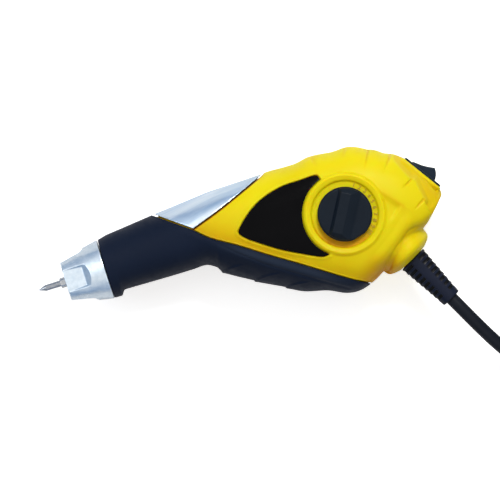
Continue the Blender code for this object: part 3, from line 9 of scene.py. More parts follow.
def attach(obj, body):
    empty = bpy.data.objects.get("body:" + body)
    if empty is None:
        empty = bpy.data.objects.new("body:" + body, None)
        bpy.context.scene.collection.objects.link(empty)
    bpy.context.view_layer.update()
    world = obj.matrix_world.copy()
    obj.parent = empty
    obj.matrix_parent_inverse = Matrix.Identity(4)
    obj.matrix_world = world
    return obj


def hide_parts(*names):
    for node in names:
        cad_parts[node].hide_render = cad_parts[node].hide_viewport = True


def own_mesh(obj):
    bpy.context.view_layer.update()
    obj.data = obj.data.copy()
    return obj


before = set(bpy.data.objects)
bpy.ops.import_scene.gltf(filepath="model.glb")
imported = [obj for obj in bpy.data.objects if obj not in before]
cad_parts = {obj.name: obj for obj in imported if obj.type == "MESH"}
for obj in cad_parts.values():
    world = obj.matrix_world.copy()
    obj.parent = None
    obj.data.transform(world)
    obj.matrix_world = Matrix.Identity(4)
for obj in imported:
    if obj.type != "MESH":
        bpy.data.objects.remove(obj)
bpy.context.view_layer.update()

# Lengths are in metres, in the CAD model's frame. Places in the photograph are
# in its pixels, with y downward.

# Sizes that the part's own source has too
GAP = 0.0003
BODY_LENGTH = 0.1880
BODY_HEIGHT = 0.0705
HALF_WIDTH = 0.0230
FULL_BULGE = 0.0236
MIDDLE_Z = HALF_WIDTH
FACE_Z = MIDDLE_Z + HALF_WIDTH
CENTRE = Vector((0.098052, 0.032648))
SEAT = Vector((-0.066867, -0.020381))
AXIS_TILT = math.radians(17.5)
DIAL = Vector((0.044828, 0.005189))
BOSS_FACE = Vector((0.076882, -0.015636))
BOSS_TILT = math.radians(-45.0)
ROCKER_PIVOT = Vector((0.080923, 0.024107))
WALL = 0.0030
SKIN = 0.0014
PANEL_SKIN = 0.0011
CORD_RADIUS = 0.0031
SPIGOT_LENGTH = 0.0070

# How far cuts run over, what reaches past the whole pen, and how near two points
# count as one: in a new mesh, and after the cuts
OVER = 0.004
FAR = 0.2
WELD, MERGE = 0.000001, 0.000002

# The photograph: its side, one pixel at the pen's middle plane, and the pixel
# of the model's origin
PHOTO = 500
PIXEL = 0.00047
PIXEL_X = 248.62
PIXEL_Y = 225.54
DISTANCE = 2.5
SENSOR = 36.0
CLIP_START, CLIP_END = 0.1, 20.0


def at(px, py):
    """The point of the middle plane that a pixel shows."""
    return Vector(((px - PIXEL_X) * PIXEL, (PIXEL_Y - py) * PIXEL))


AIM = at(PHOTO / 2, PHOTO / 2)


def pixels(points):
    """The pixel that shows each point."""
    scale = 1 + (points[:, 2] - MIDDLE_Z) / DISTANCE
    x = AIM.x + (points[:, 0] - AIM.x) * scale
    y = AIM.y + (points[:, 1] - AIM.y) * scale
    return np.stack([x / PIXEL + PIXEL_X, PIXEL_Y - y / PIXEL], 1)


def as_pixels(outline):
    return [(p.x / PIXEL + PIXEL_X, PIXEL_Y - p.y / PIXEL) for p in outline]


def make_camera():
    data = bpy.data.cameras.new("camera")
    camera = link("camera", data)
    bpy.context.scene.camera = camera
    data.sensor_width = SENSOR
    data.lens = SENSOR * DISTANCE / (PHOTO * PIXEL)
    data.clip_start = CLIP_START
    data.clip_end = CLIP_END
    camera.location = (AIM.x, AIM.y, MIDDLE_Z + DISTANCE)
    return camera


# Mesh helpers
def link(name, data):
    made = bpy.data.objects.new(name, data)
    bpy.context.scene.collection.objects.link(made)
    return made


def object_of(name, bm):
    bmesh.ops.remove_doubles(bm, verts=bm.verts, dist=WELD)
    bmesh.ops.recalc_face_normals(bm, faces=bm.faces)
    mesh = bpy.data.meshes.new(name)
    bm.to_mesh(mesh)
    bm.free()
    return link(name, mesh)


def evaluated_mesh(thing):
    bpy.context.view_layer.update()
    graph = bpy.context.evaluated_depsgraph_get()
    return bpy.data.meshes.new_from_object(thing.evaluated_get(graph))


def as_mesh(name, data):
    """A mesh object with the form of a curve or a text."""
    source = link(name, data)
    mesh = evaluated_mesh(source)
    bpy.data.objects.remove(source, do_unlink=True)
    bpy.data.curves.remove(data)
    return link(name, mesh)


def applied(thing):
    """Turn a thing's modifiers into its mesh."""
    mesh = evaluated_mesh(thing)
    thing.modifiers.clear()
    old = thing.data
    thing.data = mesh
    bpy.data.meshes.remove(old)
    return thing


def cut(target, tool, operation="DIFFERENCE"):
    """Cut a solid with a tool, which is used up, or join or trim it."""
    modifier = target.modifiers.new("cut", "BOOLEAN")
    modifier.operation = operation
    modifier.solver = "EXACT"
    modifier.object = tool
    applied(target)
    data = tool.data
    bpy.data.objects.remove(tool, do_unlink=True)
    bpy.data.meshes.remove(data)
    return target


def cleaned(thing):
    """Clear what cuts leave behind: doubled points, faces of no area and flaps."""
    bm = bmesh.new()
    bm.from_mesh(thing.data)
    bmesh.ops.remove_doubles(bm, verts=bm.verts, dist=MERGE)
    bmesh.ops.dissolve_degenerate(bm, edges=bm.edges, dist=MERGE)
    sides = {}
    for face in bm.faces:
        sides.setdefault(frozenset(face.verts), []).append(face)
    flaps = [face for faces in sides.values() if len(faces) > 1 for face in faces]
    bmesh.ops.delete(bm, geom=flaps, context="FACES")
    bm.to_mesh(thing.data)
    bm.free()
    return thing


def rounded_edges(thing, width, segments, sharper_than=30):
    """Round the edges that turn by more than an angle, in degrees."""
    bevel = thing.modifiers.new("edge", "BEVEL")
    bevel.width = width
    bevel.segments = segments
    bevel.limit_method = "ANGLE"
    bevel.angle_limit = math.radians(sharper_than)
    return applied(thing)


def moulded(thing, voxel, rounds):
    """Give a solid an even mesh with softly rounded edges."""
    modifier = thing.modifiers.new("even", "REMESH")
    modifier.mode = "VOXEL"
    modifier.voxel_size = voxel
    applied(thing)
    modifier = thing.modifiers.new("soft", "SMOOTH")
    modifier.iterations = rounds
    return applied(thing)


def lofted(name, sections, closed=False):
    """Walls between sections, with a cap at each end, or closed to a ring."""
    bm = bmesh.new()
    rings = [[bm.verts.new(tuple(p)) for p in section] for section in sections]
    pairs = list(zip(rings, rings[1:]))
    if closed:
        pairs.append((rings[-1], rings[0]))
    for first, second in pairs:
        count = len(first)
        for i in range(count):
            j = (i + 1) % count
            bm.faces.new((first[i], first[j], second[j], second[i]))
    if not closed:
        bm.faces.new(rings[0])
        bm.faces.new(rings[-1])
    return object_of(name, bm)


def prism(name, outline, low, high):
    return lofted(name, [[(p[0], p[1], z) for p in outline] for z in (low, high)])


def box(name, low, high):
    (x0, y0, z0), (x1, y1, z1) = low, high
    return prism(name, [(x0, y0), (x1, y0), (x1, y1), (x0, y1)], z0, z1)


def circle(radius, steps):
    angles = [math.tau * step / steps for step in range(steps)]
    return [(radius * math.cos(angle), radius * math.sin(angle)) for angle in angles]


def turned(name, profile, steps=96):
    """A profile of (along X, radius) points turned about X."""
    solid = profile[0][1] == 0
    rims = profile[1:-1] if solid else profile
    rings = [[(along, y, z) for y, z in circle(radius, steps)] for along, radius in rims]
    return lofted(name, rings, closed=not solid)


def rod(name, start, end, radius, steps=96):
    return turned(name, [(start, 0), (start, radius), (end, radius), (end, 0)], steps)


def post(name, place, low, high, radius):
    outline = [(place[0] + x, place[1] + y) for x, y in circle(radius, 64)]
    return prism(name, outline, low, high)


def rounded(length, width, corner, steps=6):
    """A rectangle's outline with round corners, from its half length and width."""
    out = []
    for sx, sy, start in ((1, 1, 0), (-1, 1, 90), (-1, -1, 180), (1, -1, 270)):
        for step in range(steps + 1):
            angle = math.radians(start + step * 90 / steps)
            x = sx * (length - corner) + corner * math.cos(angle)
            out.append((x, sy * (width - corner) + corner * math.sin(angle)))
    return out


def moved(thing, matrix):
    thing.data.transform(matrix)
    thing.data.update()
    return thing


def arrays(thing):
    """The points of a mesh and their normals."""
    mesh = thing.data
    count = len(mesh.vertices)
    verts = np.empty(count * 3)
    mesh.vertices.foreach_get("co", verts)
    normals = np.empty(count * 3)
    mesh.vertex_normals.foreach_get("vector", normals)
    return verts.reshape(-1, 3), normals.reshape(-1, 3)


def put(thing, verts):
    thing.data.vertices.foreach_set("co", verts.reshape(-1))
    thing.data.update()


def frame_matrix(place, turn):
    """A frame in the middle plane, with X along a direction of that plane."""
    middle = Matrix.Translation((place[0], place[1], MIDDLE_Z))
    return middle @ Matrix.Rotation(turn, 4, "Z")


def direction(turn):
    return Vector((math.cos(turn), math.sin(turn)))


def plan(share):
    """The place of a point given as shares of the body's length and height."""
    return Vector((share[0] * BODY_LENGTH, share[1] * BODY_HEIGHT)) - CENTRE


STROKE = frame_matrix(SEAT, AXIS_TILT)
BOSS = frame_matrix(BOSS_FACE, BOSS_TILT)
UPRIGHT = Matrix.Translation((DIAL.x, DIAL.y, 0)) @ Matrix.Rotation(-math.pi / 2, 4, "Y")


# The pen's sections: the upper and the lower point as shares of the body's
# length and height, where the middle lies between them, the half width as a
# share of the full bulge, and how square the section is
LUG = [
    (0.1440, 0.3673, 0.1878, -0.0193, 0.50, 0.604, 1.00),
    (0.1640, 0.4000, 0.2068, -0.0040, 0.48, 0.614, 1.00),
]
BARREL = [
    (0.1680, 0.4047, 0.2110, 0.0353, 0.435, 0.617, 1.00),
    (0.2200, 0.4640, 0.2638, 0.0760, 0.435, 0.644, 1.03),
    (0.2800, 0.5333, 0.3250, 0.1233, 0.43, 0.691, 1.08),
    (0.3375, 0.5967, 0.3825, 0.1700, 0.44, 0.760, 1.12),
    (0.3850, 0.6500, 0.4175, 0.2000, 0.45, 0.830, 1.16),
    (0.4150, 0.6833, 0.4435, 0.1847, 0.46, 0.872, 1.20),
]
BODY = [
    (0.4250, 0.6933, 0.4543, 0.1567, 0.47, 0.886, 1.22),
    (0.4750, 0.7367, 0.5000, 0.1200, 0.50, 0.924, 1.26),
    (0.5375, 0.7933, 0.5550, 0.0847, 0.50, 0.970, 1.32),
    (0.6000, 0.8533, 0.6125, 0.0533, 0.50, 0.994, 1.38),
    (0.6625, 0.9167, 0.6650, 0.0247, 0.50, 1.000, 1.42),
    (0.7250, 0.9613, 0.7200, 0.0300, 0.50, 1.000, 1.42),
    (0.7800, 0.9933, 0.7650, 0.0133, 0.50, 1.000, 1.42),
    (0.8300, 0.9800, 0.7950, 0.0247, 0.50, 0.994, 1.42),
    (0.8750, 0.9467, 0.8200, 0.0600, 0.50, 0.977, 1.38),
    (0.9125, 0.9067, 0.8450, 0.1167, 0.50, 0.943, 1.33),
    (0.9500, 0.8233, 0.8775, 0.2133, 0.50, 0.881, 1.28),
    (0.9825, 0.7500, 0.9100, 0.3100, 0.50, 0.797, 1.22),
    (1.0000, 0.7000, 0.9400, 0.3933, 0.50, 0.700, 1.16),
    (1.0037, 0.6733, 0.9600, 0.4500, 0.50, 0.600, 1.10),
    (1.0012, 0.6533, 0.9688, 0.4833, 0.50, 0.466, 1.05),
]
# Rows between two sections and points round a section: outside, inside, cavity
SPLITS, INNER_SPLITS = 7, 3
RING, INNER_RING, CAVITY_RING = 112, 64, 40

# The top line's waves: columns of the photograph and how deep the dip is there,
# the line itself, and how far below it the dips reach
TOP_DIPS = [
    (270, 0.0), (280, 1.2), (288, 2.0), (293, 2.6), (299, 2.2), (304, 0.9), (309, 0.2),
    (318, 0.6), (330, 1.6), (337, 1.3), (344, 0.2), (349, 0.3), (357, 1.2), (362, 1.7),
    (367, 2.3), (373, 1.5), (378, 1.7), (384, 2.4), (389, 0.9), (393, 0.0),
]
TOP_LINE = [(262, 175), (290, 163), (320, 153), (350, 146), (370, 147.5), (390, 153), (404, 158)]
DIP_START, DIP_END = 1.0, 15.0


def smooth_between(before, here, there, after, way):
    """A point on a smooth curve through rows of numbers, between two of them."""
    span_in = math.dist(before[:2], here[:2])
    middle = math.dist(here[:2], there[:2])
    span_out = math.dist(there[:2], after[:2])
    values = []
    for a, b, c, d in zip(before, here, there, after):
        slope_in = middle * (c - a) / (span_in + middle) if span_in > 0 else c - b
        slope_out = middle * (d - b) / (middle + span_out) if span_out > 0 else c - b
        values.append(
            (2 * way**3 - 3 * way**2 + 1) * b
            + (way**3 - 2 * way**2 + way) * slope_in
            + (3 * way**2 - 2 * way**3) * c
            + (way**3 - way**2) * slope_out
        )
    return tuple(values)


def smooth_rows(rows, splits):
    out = []
    last = len(rows) - 1
    for i in range(last):
        four = (rows[max(i - 1, 0)], rows[i], rows[i + 1], rows[min(i + 2, last)])
        out += [smooth_between(*four, split / splits) for split in range(splits)]
    return out + [rows[last]]


def powered(value, power):
    return math.copysign(abs(value) ** power, value)


def section(row, inset, count):
    """The points round one section, moved in by an inset."""
    upper = plan(row[0:2])
    lower = plan(row[2:4])
    centre = lower.lerp(upper, row[4])
    up = (upper - lower).normalized()
    rise = (upper - centre).length - inset
    fall = (centre - lower).length - inset
    half = row[5] * FULL_BULGE - inset
    flat = HALF_WIDTH - inset
    ring = []
    for index in range(count):
        angle = math.tau * index / count
        across = powered(math.sin(angle), 1 / row[6])
        high = powered(math.cos(angle), 1 / row[6])
        place = centre + up * (rise if high > 0 else fall) * high
        ring.append((place.x, place.y, MIDDLE_Z + max(-flat, min(flat, half * across))))
    return ring


def body_rows(splits):
    return LUG + smooth_rows(BARREL, splits) + smooth_rows(BODY, splits)


def body_solid():
    """The whole body, with the waves of its top line."""
    body = lofted("body", [section(row, 0, RING) for row in body_rows(SPLITS)])
    verts, _ = arrays(body)
    spots = pixels(verts)
    dip = np.interp(spots[:, 0], *np.array(TOP_DIPS, float).T)
    below = spots[:, 1] - np.interp(spots[:, 0], *np.array(TOP_LINE, float).T)
    verts[:, 1] -= dip * PIXEL * (1 - blend_step(below, DIP_START, DIP_END))
    put(body, verts)
    return body


def inner_solid(inset):
    """The body within a skin, open at its front end."""
    rows = body_rows(INNER_SPLITS)
    first = rows[0]
    upper = Vector((first[0] * BODY_LENGTH, first[1] * BODY_HEIGHT))
    lower = Vector((first[2] * BODY_LENGTH, first[3] * BODY_HEIGHT))
    along = (upper - lower).normalized()
    step = Vector((along.y, -along.x)) * -OVER
    ahead = []
    for end in (upper + step, lower + step):
        ahead += [end.x / BODY_LENGTH, end.y / BODY_HEIGHT]
    rows = [(*ahead, *first[4:])] + rows
    return lofted("inner", [section(row, inset, INNER_RING) for row in rows])


# The outlines of the skins, as shares of the body's length and height, and the
# points that close them outside the pen
GRIP_EDGE = [
    (0.2675, 0.6667), (0.2800, 0.5333), (0.3833, 0.4333), (0.4255, 0.3800), (0.4930, 0.3321),
    (0.5750, 0.2647), (0.6423, 0.2140), (0.7763, 0.1080), (0.8288, 0.0780), (0.8900, 0.0300),
]
GRIP_OUTSIDE = [(0.8900, -0.3000), (0.1000, -0.3000), (0.1000, 0.6667)]
TOP_EDGE = [
    (0.5750, 0.8900), (0.5555, 0.8047), (0.5355, 0.7547),
    (0.4980, 0.6707), (0.4408, 0.5480), (0.3833, 0.4367),
]
TOP_OUTSIDE = [(0.2830, 0.5367), (0.2720, 0.6700), (0.2720, 1.05), (0.5750, 1.05)]
PANEL_EDGE = [
    (0.7220, 0.2680), (0.7040, 0.2540), (0.6530, 0.2740), (0.6020, 0.3013), (0.5510, 0.3420),
    (0.5153, 0.3760), (0.4985, 0.4040), (0.4958, 0.4307), (0.5243, 0.5580), (0.5578, 0.6473),
    (0.6058, 0.7240), (0.6488, 0.7620), (0.6823, 0.7940), (0.6920, 0.7940),
]
PANEL_ARC = (math.radians(125.0), math.radians(248.0))
PANEL_ARC_STEPS = 32
EDGE_SPLITS = 4
LIP_RADIUS = 0.0192
LEAST_MITRE = 0.35


def offset_outline(points, distance):
    """An outline moved out by a distance, or in where it is below zero."""
    count = len(points)
    area = sum(points[i].cross(points[(i + 1) % count]) for i in range(count))
    way = math.copysign(1, area)
    out = []
    for i in range(count):
        before = (points[i] - points[i - 1]).normalized()
        after = (points[(i + 1) % count] - points[i]).normalized()
        normal_in = Vector((before.y, -before.x)) * way
        normal_out = Vector((after.y, -after.x)) * way
        bisector = (normal_in + normal_out).normalized()
        mitre = max(bisector.dot(normal_out), LEAST_MITRE)
        out.append(points[i] + bisector * distance / mitre)
    return out


def grip_edge():
    return GRIP_EDGE[1:2] + smooth_rows(GRIP_EDGE[2:], EDGE_SPLITS)


def grip_outline():
    return [plan(s) for s in GRIP_EDGE[:1] + grip_edge() + GRIP_OUTSIDE]


def top_outline():
    return [plan(s) for s in smooth_rows(TOP_EDGE, EDGE_SPLITS) + TOP_OUTSIDE]


def panel_outline():
    edge = [plan(s) for s in smooth_rows(PANEL_EDGE, EDGE_SPLITS)]
    start, end = PANEL_ARC
    radius = LIP_RADIUS + GAP + GAP
    for i in range(PANEL_ARC_STEPS + 1):
        edge.append(DIAL + direction(start + (end - start) * i / PANEL_ARC_STEPS) * radius)
    return edge


def heights(side):
    """The low and high end of the left half, side 1, or the right half, side -1."""
    reach = HALF_WIDTH + OVER
    if side > 0:
        return MIDDLE_Z + GAP / 2, MIDDLE_Z + reach
    return MIDDLE_Z - reach, MIDDLE_Z - GAP / 2


WHOLE = (heights(-1)[0], heights(1)[1])


# Moulded features are maps over the photograph: from pixels to a height or a
# shade. Paths and widths are in pixels, heights and depths in metres.
def blend_step(value, low, high):
    t = np.clip((value - low) / (high - low), 0.0, 1.0)
    return t * t * (3 - 2 * t)


def bell(gap, width):
    return np.exp(-((gap / width) ** 2))


def near_path(spots, path):
    """Least distance to a path, the side it lies on, and how far along it is."""
    best = np.full(len(spots), 1e9)
    side = np.zeros(len(spots))
    share = np.zeros(len(spots))
    points = np.array(path, float)
    spans = np.linalg.norm(np.diff(points, axis=0), axis=1)
    total = spans.sum()
    before = 0.0
    for a, b, span in zip(points, points[1:], spans):
        ab = b - a
        t = np.clip(((spots - a) @ ab) / (span * span), 0, 1)
        foot = a + t[:, None] * ab
        gap = np.linalg.norm(spots - foot, axis=1)
        cross = ab[0] * (spots[:, 1] - a[1]) - ab[1] * (spots[:, 0] - a[0])
        nearer = gap < best
        best = np.where(nearer, gap, best)
        side = np.where(nearer, np.sign(cross), side)
        share = np.where(nearer, (before + t * span) / total, share)
        before += span
    return best, side, share


def inside(spots, outline):
    points = np.array(outline, float)
    hit = np.zeros(len(spots), bool)
    for a, b in zip(points, np.roll(points, -1, axis=0)):
        crosses = (a[1] > spots[:, 1]) != (b[1] > spots[:, 1])
        slope = (b[0] - a[0]) * (spots[:, 1] - a[1]) / (b[1] - a[1] + 1e-12) + a[0]
        hit ^= crosses & (spots[:, 0] < slope)
    return hit


def faded(share, start, end):
    """1 along a path, falling to 0 over a share of it at its start and its end."""
    out = np.ones(len(share))
    if start:
        out = out * blend_step(share, 0.0, start)
    if end:
        out = out * (1 - blend_step(share, 1 - end, 1.0))
    return out


# Creases: the path, the depth, the width, and the shares over which ends fade
CREASES = [
    ([(368.2, 146.0), (367.5, 152.6), (364.6, 170.6)], 0.00060, 1.2, 0.0, 0.7),
    ([(391.0, 150.0), (389.2, 158.0), (382.6, 174.6)], 0.00070, 1.2, 0.0, 0.7),
    ([(309.0, 154.0), (319.0, 169.0)], 0.00035, 1.8, 0.0, 0.7),
    ([(346.0, 145.0), (341.0, 161.0)], 0.00035, 1.8, 0.0, 0.7),
    ([(413.0, 178.0), (400.5, 189.9)], 0.00070, 1.1, 0.15, 0.6),
    ([(425.6, 197.6), (413.4, 211.2)], 0.00070, 1.1, 0.15, 0.6),
]
FULL_CREASE = 0.00070
CREASE_SHADE = 0.42

# The sloping face beside the switch, and the lip that it leaves alone
SWITCH_LIP = [(403.6, 158.9), (439.2, 187.1)]
SWITCH_BAND = [(389.0, 155.0), (399.5, 168.5), (409.6, 179.2), (414.2, 180.4), (423.8, 199.6)]
LIP_NEAR, LIP_FAR = 1.2, 3.4
REAR_REACH, REAR_FADE = 7.0, 0.12
REAR_DEPTH = 0.0020
REAR_SHADE, REAR_SHADE_START, REAR_SHADE_FULL = 0.30, 0.05, 0.35

# The drop beside the dial, below its path, and the broad ridge under it
SHOULDER = [(373.0, 188.0), (388.0, 195.5), (403.5, 205.5)]
SHOULDER_DEPTH, SHOULDER_EDGE, SHOULDER_WIDTH, SHOULDER_REACH = 0.0011, -0.5, 6.0, 26.0
SHOULDER_FADE = 0.12
SHOULDER_SHADE, SHADE_BELOW, SHADE_ABOVE = 0.35, 7.0, 1.5
RIDGE = [(413.0, 213.0), (403.0, 231.0), (389.0, 250.0), (373.0, 268.0)]
RIDGE_HEIGHT, RIDGE_NEAR, RIDGE_FAR, RIDGE_FADE = 0.00085, 1.0, 9.5, 0.2

# The valley round the lobe that the boot comes out of, and the shade at its foot
LOBE_EDGE = [
    (428.0, 224.5), (417.0, 228.3), (407.8, 233.5), (403.2, 242.0),
    (397.8, 252.0), (392.0, 263.5), (387.0, 275.0),
]
LOBE_DEPTH, LOBE_SPREAD, LOBE_FADE = 0.0013, 4.5, 0.20
LOBE_EDGE_SHADE, LOBE_EDGE_SPREAD = 0.30, 4.0
LOBE_FOOT, LOBE_FOOT_REACH, LOBE_FOOT_SHADE = (384.0, 277.0), 27.0, 0.90

# The joint of the yellow shell and the rubber, and that of the silver shield
GRIP_PATH = as_pixels(plan(s) for s in grip_edge())
TOP_PATH = as_pixels(plan(s) for s in smooth_rows(TOP_EDGE, EDGE_SPLITS))
VALLEY_DEPTH, VALLEY_ABOVE, VALLEY_UNDER = 0.00055, 9.0, 4.0
EDGE_SHADE, EDGE_SHADE_AHEAD, EDGE_SHADE_SPREAD = 0.45, 0.25, 15.0
AHEAD_START, AHEAD_END = 250.0, 330.0
JOINT_SHADE, JOINT_NEAR, JOINT_FAR = 1.8, 0.7, 1.5

# The dial: its middle, the ring that features leave alone, and its dish's shade
DIAL_SPOT = (344.0, 214.5)
RING_NEAR, RING_FAR = 40.0, 44.0
DISH_REACH, DISH_SHADE = 33.5, 0.85
DISH_SHADE_START, DISH_SHADE_END = 214.0, 244.0

# The raised rim round the black panel
RIM_REACH, RIM_HEIGHT = 5.2, 0.00055

# How near the middle plane the features fade out
SEAM_START, SEAM_END, GRIP_SEAM_END = 0.0004, 0.0020, 0.0016


def distance_from(spots, spot):
    return np.hypot(spots[:, 0] - spot[0], spots[:, 1] - spot[1])


def knob_ring(spots):
    """0 at the dial's raised ring, which the features leave alone, and 1 outside."""
    return blend_step(distance_from(spots, DIAL_SPOT), RING_NEAR, RING_FAR)


def creases(spots):
    """How deep the narrow creases of the yellow housing are."""
    out = np.zeros(len(spots))
    for path, depth, width, fade_in, fade_out in CREASES:
        gap, _, share = near_path(spots, path)
        out += depth * bell(gap, width) * faded(share, fade_in, fade_out)
    return out


def rear_face(spots):
    """How far into the sloping face beside the switch each point lies, from 0 to 1."""
    gap, side, share = near_path(spots, SWITCH_BAND)
    toward = np.where(side < 0, gap, 0.0)
    lip, _, _ = near_path(spots, SWITCH_LIP)
    keep = blend_step(lip, LIP_NEAR, LIP_FAR) * faded(share, REAR_FADE, 0)
    return np.clip(toward / REAR_REACH, 0, 1) * keep


def slopes(spots, up):
    """How far the broad forms of the yellow housing stand proud or sunk."""
    out = -REAR_DEPTH * rear_face(spots) * up
    gap, side, share = near_path(spots, SHOULDER)
    below = gap * side
    drop = blend_step(below, SHOULDER_EDGE, SHOULDER_WIDTH)
    drop *= 1 - blend_step(below, SHOULDER_WIDTH, SHOULDER_REACH)
    out -= SHOULDER_DEPTH * drop * faded(share, SHOULDER_FADE, SHOULDER_FADE)
    gap, _, share = near_path(spots, RIDGE)
    crest = 1 - blend_step(gap, RIDGE_NEAR, RIDGE_FAR)
    out += RIDGE_HEIGHT * crest * faded(share, RIDGE_FADE, RIDGE_FADE)
    gap, _, share = near_path(spots, LOBE_EDGE)
    return out - LOBE_DEPTH * np.exp(-gap / LOBE_SPREAD) * faded(share, LOBE_FADE, 0)


def edge_valley(spots):
    """A shallow valley that the joint of the yellow shell and the rubber lies in."""
    gap, side, _ = near_path(spots, GRIP_PATH)
    return -VALLEY_DEPTH * np.where(side < 0, bell(gap, VALLEY_ABOVE), bell(gap, VALLEY_UNDER))


def rim_of_panel(spots):
    outline = as_pixels(panel_outline())
    gap, _, _ = near_path(spots, outline + outline[:1])
    gap = np.where(inside(spots, outline), 0.0, gap)
    rim = np.clip(1 - gap / RIM_REACH, 0, 1)
    return RIM_HEIGHT * np.sin(rim * math.pi / 2) ** 2


def housing_tone(spots, verts):
    """How much each point of the yellow shell lies in shade: 1 in a crease, 2 in a joint."""
    gap, _, _ = near_path(spots, GRIP_PATH)
    ahead = 1 - blend_step(spots[:, 0], AHEAD_START, AHEAD_END)
    out = (EDGE_SHADE + EDGE_SHADE_AHEAD * ahead) * np.exp(-gap / EDGE_SHADE_SPREAD)
    out += CREASE_SHADE * np.clip(creases(spots) / FULL_CREASE, 0, 1) * knob_ring(spots)
    out += REAR_SHADE * blend_step(rear_face(spots), REAR_SHADE_START, REAR_SHADE_FULL)
    gap, side, _ = near_path(spots, SHOULDER)
    spread = np.where(side > 0, SHADE_BELOW, SHADE_ABOVE)
    out += SHOULDER_SHADE * np.exp(-gap / spread) * knob_ring(spots)
    foot = distance_from(spots, LOBE_FOOT)
    out += LOBE_FOOT_SHADE * np.clip(1 - foot / LOBE_FOOT_REACH, 0, 1)
    gap, _, _ = near_path(spots, LOBE_EDGE)
    out += LOBE_EDGE_SHADE * np.exp(-gap / LOBE_EDGE_SPREAD)
    dish = distance_from(spots, DIAL_SPOT) < DISH_REACH
    out += DISH_SHADE * dish * blend_step(spots[:, 1], DISH_SHADE_START, DISH_SHADE_END)
    gap, _, _ = near_path(spots, TOP_PATH)
    joint = JOINT_SHADE * (1 - blend_step(gap, JOINT_NEAR, JOINT_FAR))
    return np.maximum(np.clip(out, 0, 1), joint)


# The rubber: a long crease with the belly leaning away below it, three
# overlapping folds, and a painted sheen, paler between the shell and the crease
BELLY_CREASE = [(193.0, 231.5), (235.7, 252.7), (263.8, 264.1), (314.8, 279.4), (352.0, 289.2)]
BELLY_FALL, BELLY_REACH = 0.000085, 12
BELLY_DEPTH, BELLY_WIDTH = 0.00040, 1.3
BELLY_START, BELLY_FULL = 205.0, 240.0
FOLDS = [
    [(221.2, 272.0), (227.0, 269.4), (233.6, 267.0), (245.0, 264.5)],
    [(255.2, 280.2), (262.0, 277.4), (270.6, 274.8), (283.0, 272.4)],
    [(285.8, 287.2), (292.0, 285.0), (299.9, 283.0), (312.0, 281.8)],
]
FOLD_HEIGHT, FOLD_SPREAD, FOLD_EDGE, FOLD_FADE, FOLD_REACH = 0.00055, 7.0, 0.9, 0.45, 24
BAND_MIDDLE, BAND_WIDTH, PAINTED_SHEEN = 5.0, 4.5, 0.8
BAND_COLUMNS = (205.0, 250.0, 320.0, 368.0)


def grip_features(spots, up):
    gap, side, _ = near_path(spots, BELLY_CREASE)
    below = np.where(side > 0, gap, 0.0)
    ahead = blend_step(spots[:, 0], BELLY_START, BELLY_FULL) * up
    out = -BELLY_FALL * np.clip(below, 0, BELLY_REACH) * ahead
    out -= BELLY_DEPTH * bell(gap, BELLY_WIDTH) * ahead
    for line in FOLDS:
        gap, side, share = near_path(spots, line)
        behind = np.where(side > 0, gap, 0.0)
        shape = np.exp(-behind / FOLD_SPREAD) * blend_step(side * gap, -FOLD_EDGE, FOLD_EDGE)
        out += FOLD_HEIGHT * shape * faded(share, 0, FOLD_FADE) * (gap < FOLD_REACH)
    return out


def grip_tone(spots, verts):
    """A painted sheen: the rubber paler in a band between the yellow shell and the long crease."""
    gap, side, _ = near_path(spots, GRIP_PATH)
    band = np.where(side > 0, bell(gap - BAND_MIDDLE, BAND_WIDTH), 0.0)
    start, full, thin, end = BAND_COLUMNS
    ahead = blend_step(spots[:, 0], start, full) * (1 - blend_step(spots[:, 0], thin, end))
    return PAINTED_SHEEN * band * ahead


FACING_GAIN, FACING_LOSS = 1.4, 0.2


def off_seam(verts, end):
    return blend_step(np.abs(verts[:, 2] - MIDDLE_Z), SEAM_START, end)


def sculpt(thing, shape):
    """Move a mesh along its normals by a map of heights."""
    verts, normals = arrays(thing)
    up = np.clip(np.abs(normals[:, 2]) * FACING_GAIN - FACING_LOSS, 0, 1)
    amount = shape(pixels(verts), up, verts)
    put(thing, verts + normals * amount[:, None])
    return thing


def shade(thing, tone):
    """Store the painted light of each point, which the material's colour follows: painted shade, or
    on the rubber a painted sheen.
    """
    verts, _ = arrays(thing)
    stored = thing.data.attributes.new("shade", "FLOAT", "POINT")
    stored.data.foreach_set("value", tone(pixels(verts), verts))


# The housing. Profiles are points along an axis and their radius.
VOXEL, ROUNDS = 0.00040, 3
PANEL_VOXEL, PANEL_ROUNDS = 0.00030, 2
LIP = [
    (FACE_Z - 0.0015, 0),
    (FACE_Z - 0.0015, LIP_RADIUS),
    (FACE_Z, LIP_RADIUS),
    (FACE_Z + 0.0009, LIP_RADIUS - 0.0010),
    (FACE_Z + 0.0009, 0),
]
DISH_Z = 0.0449
DISH = [
    (DISH_Z, 0),
    (DISH_Z, 0.0153),
    (DISH_Z + 0.0002, 0.0155),
    (FACE_Z + 0.0002, 0.0160),
    (FACE_Z + 0.0008, 0.0180),
    (FACE_Z + 0.0012, 0.0188),
    (FACE_Z + 0.0150, 0.0188),
    (FACE_Z + 0.0150, 0),
]
LOBE = [
    (-0.0160, 0), (-0.0160, 0.0117), (-0.0110, 0.0130), (-0.0064, 0.0136), (-0.0046, 0.01352),
    (-0.0032, 0.01326), (-0.0020, 0.0124), (-0.0011, 0.0108), (-0.0003, 0.0086), (0, 0.0074),
    (0, 0),
]
LOBE_DEEPER = 1.38
LOBE_ROOM = [
    (-0.0160, 0), (-0.0160, 0.0085), (-0.0094, 0.0100),
    (-0.0062, 0.0098), (-0.0030, 0.0083), (-0.0030, 0),
]
MOUTH_DEPTH, MOUTH_RADIUS = 0.0070, 0.0059
SPIGOT_BORE_END, SPIGOT_BORE_RADIUS = 0.0268, 0.0088
CAVITY_INSET = WALL + 0.0006
SHAFT_HOLE, BORE_TOP = 0.00315, 0.06
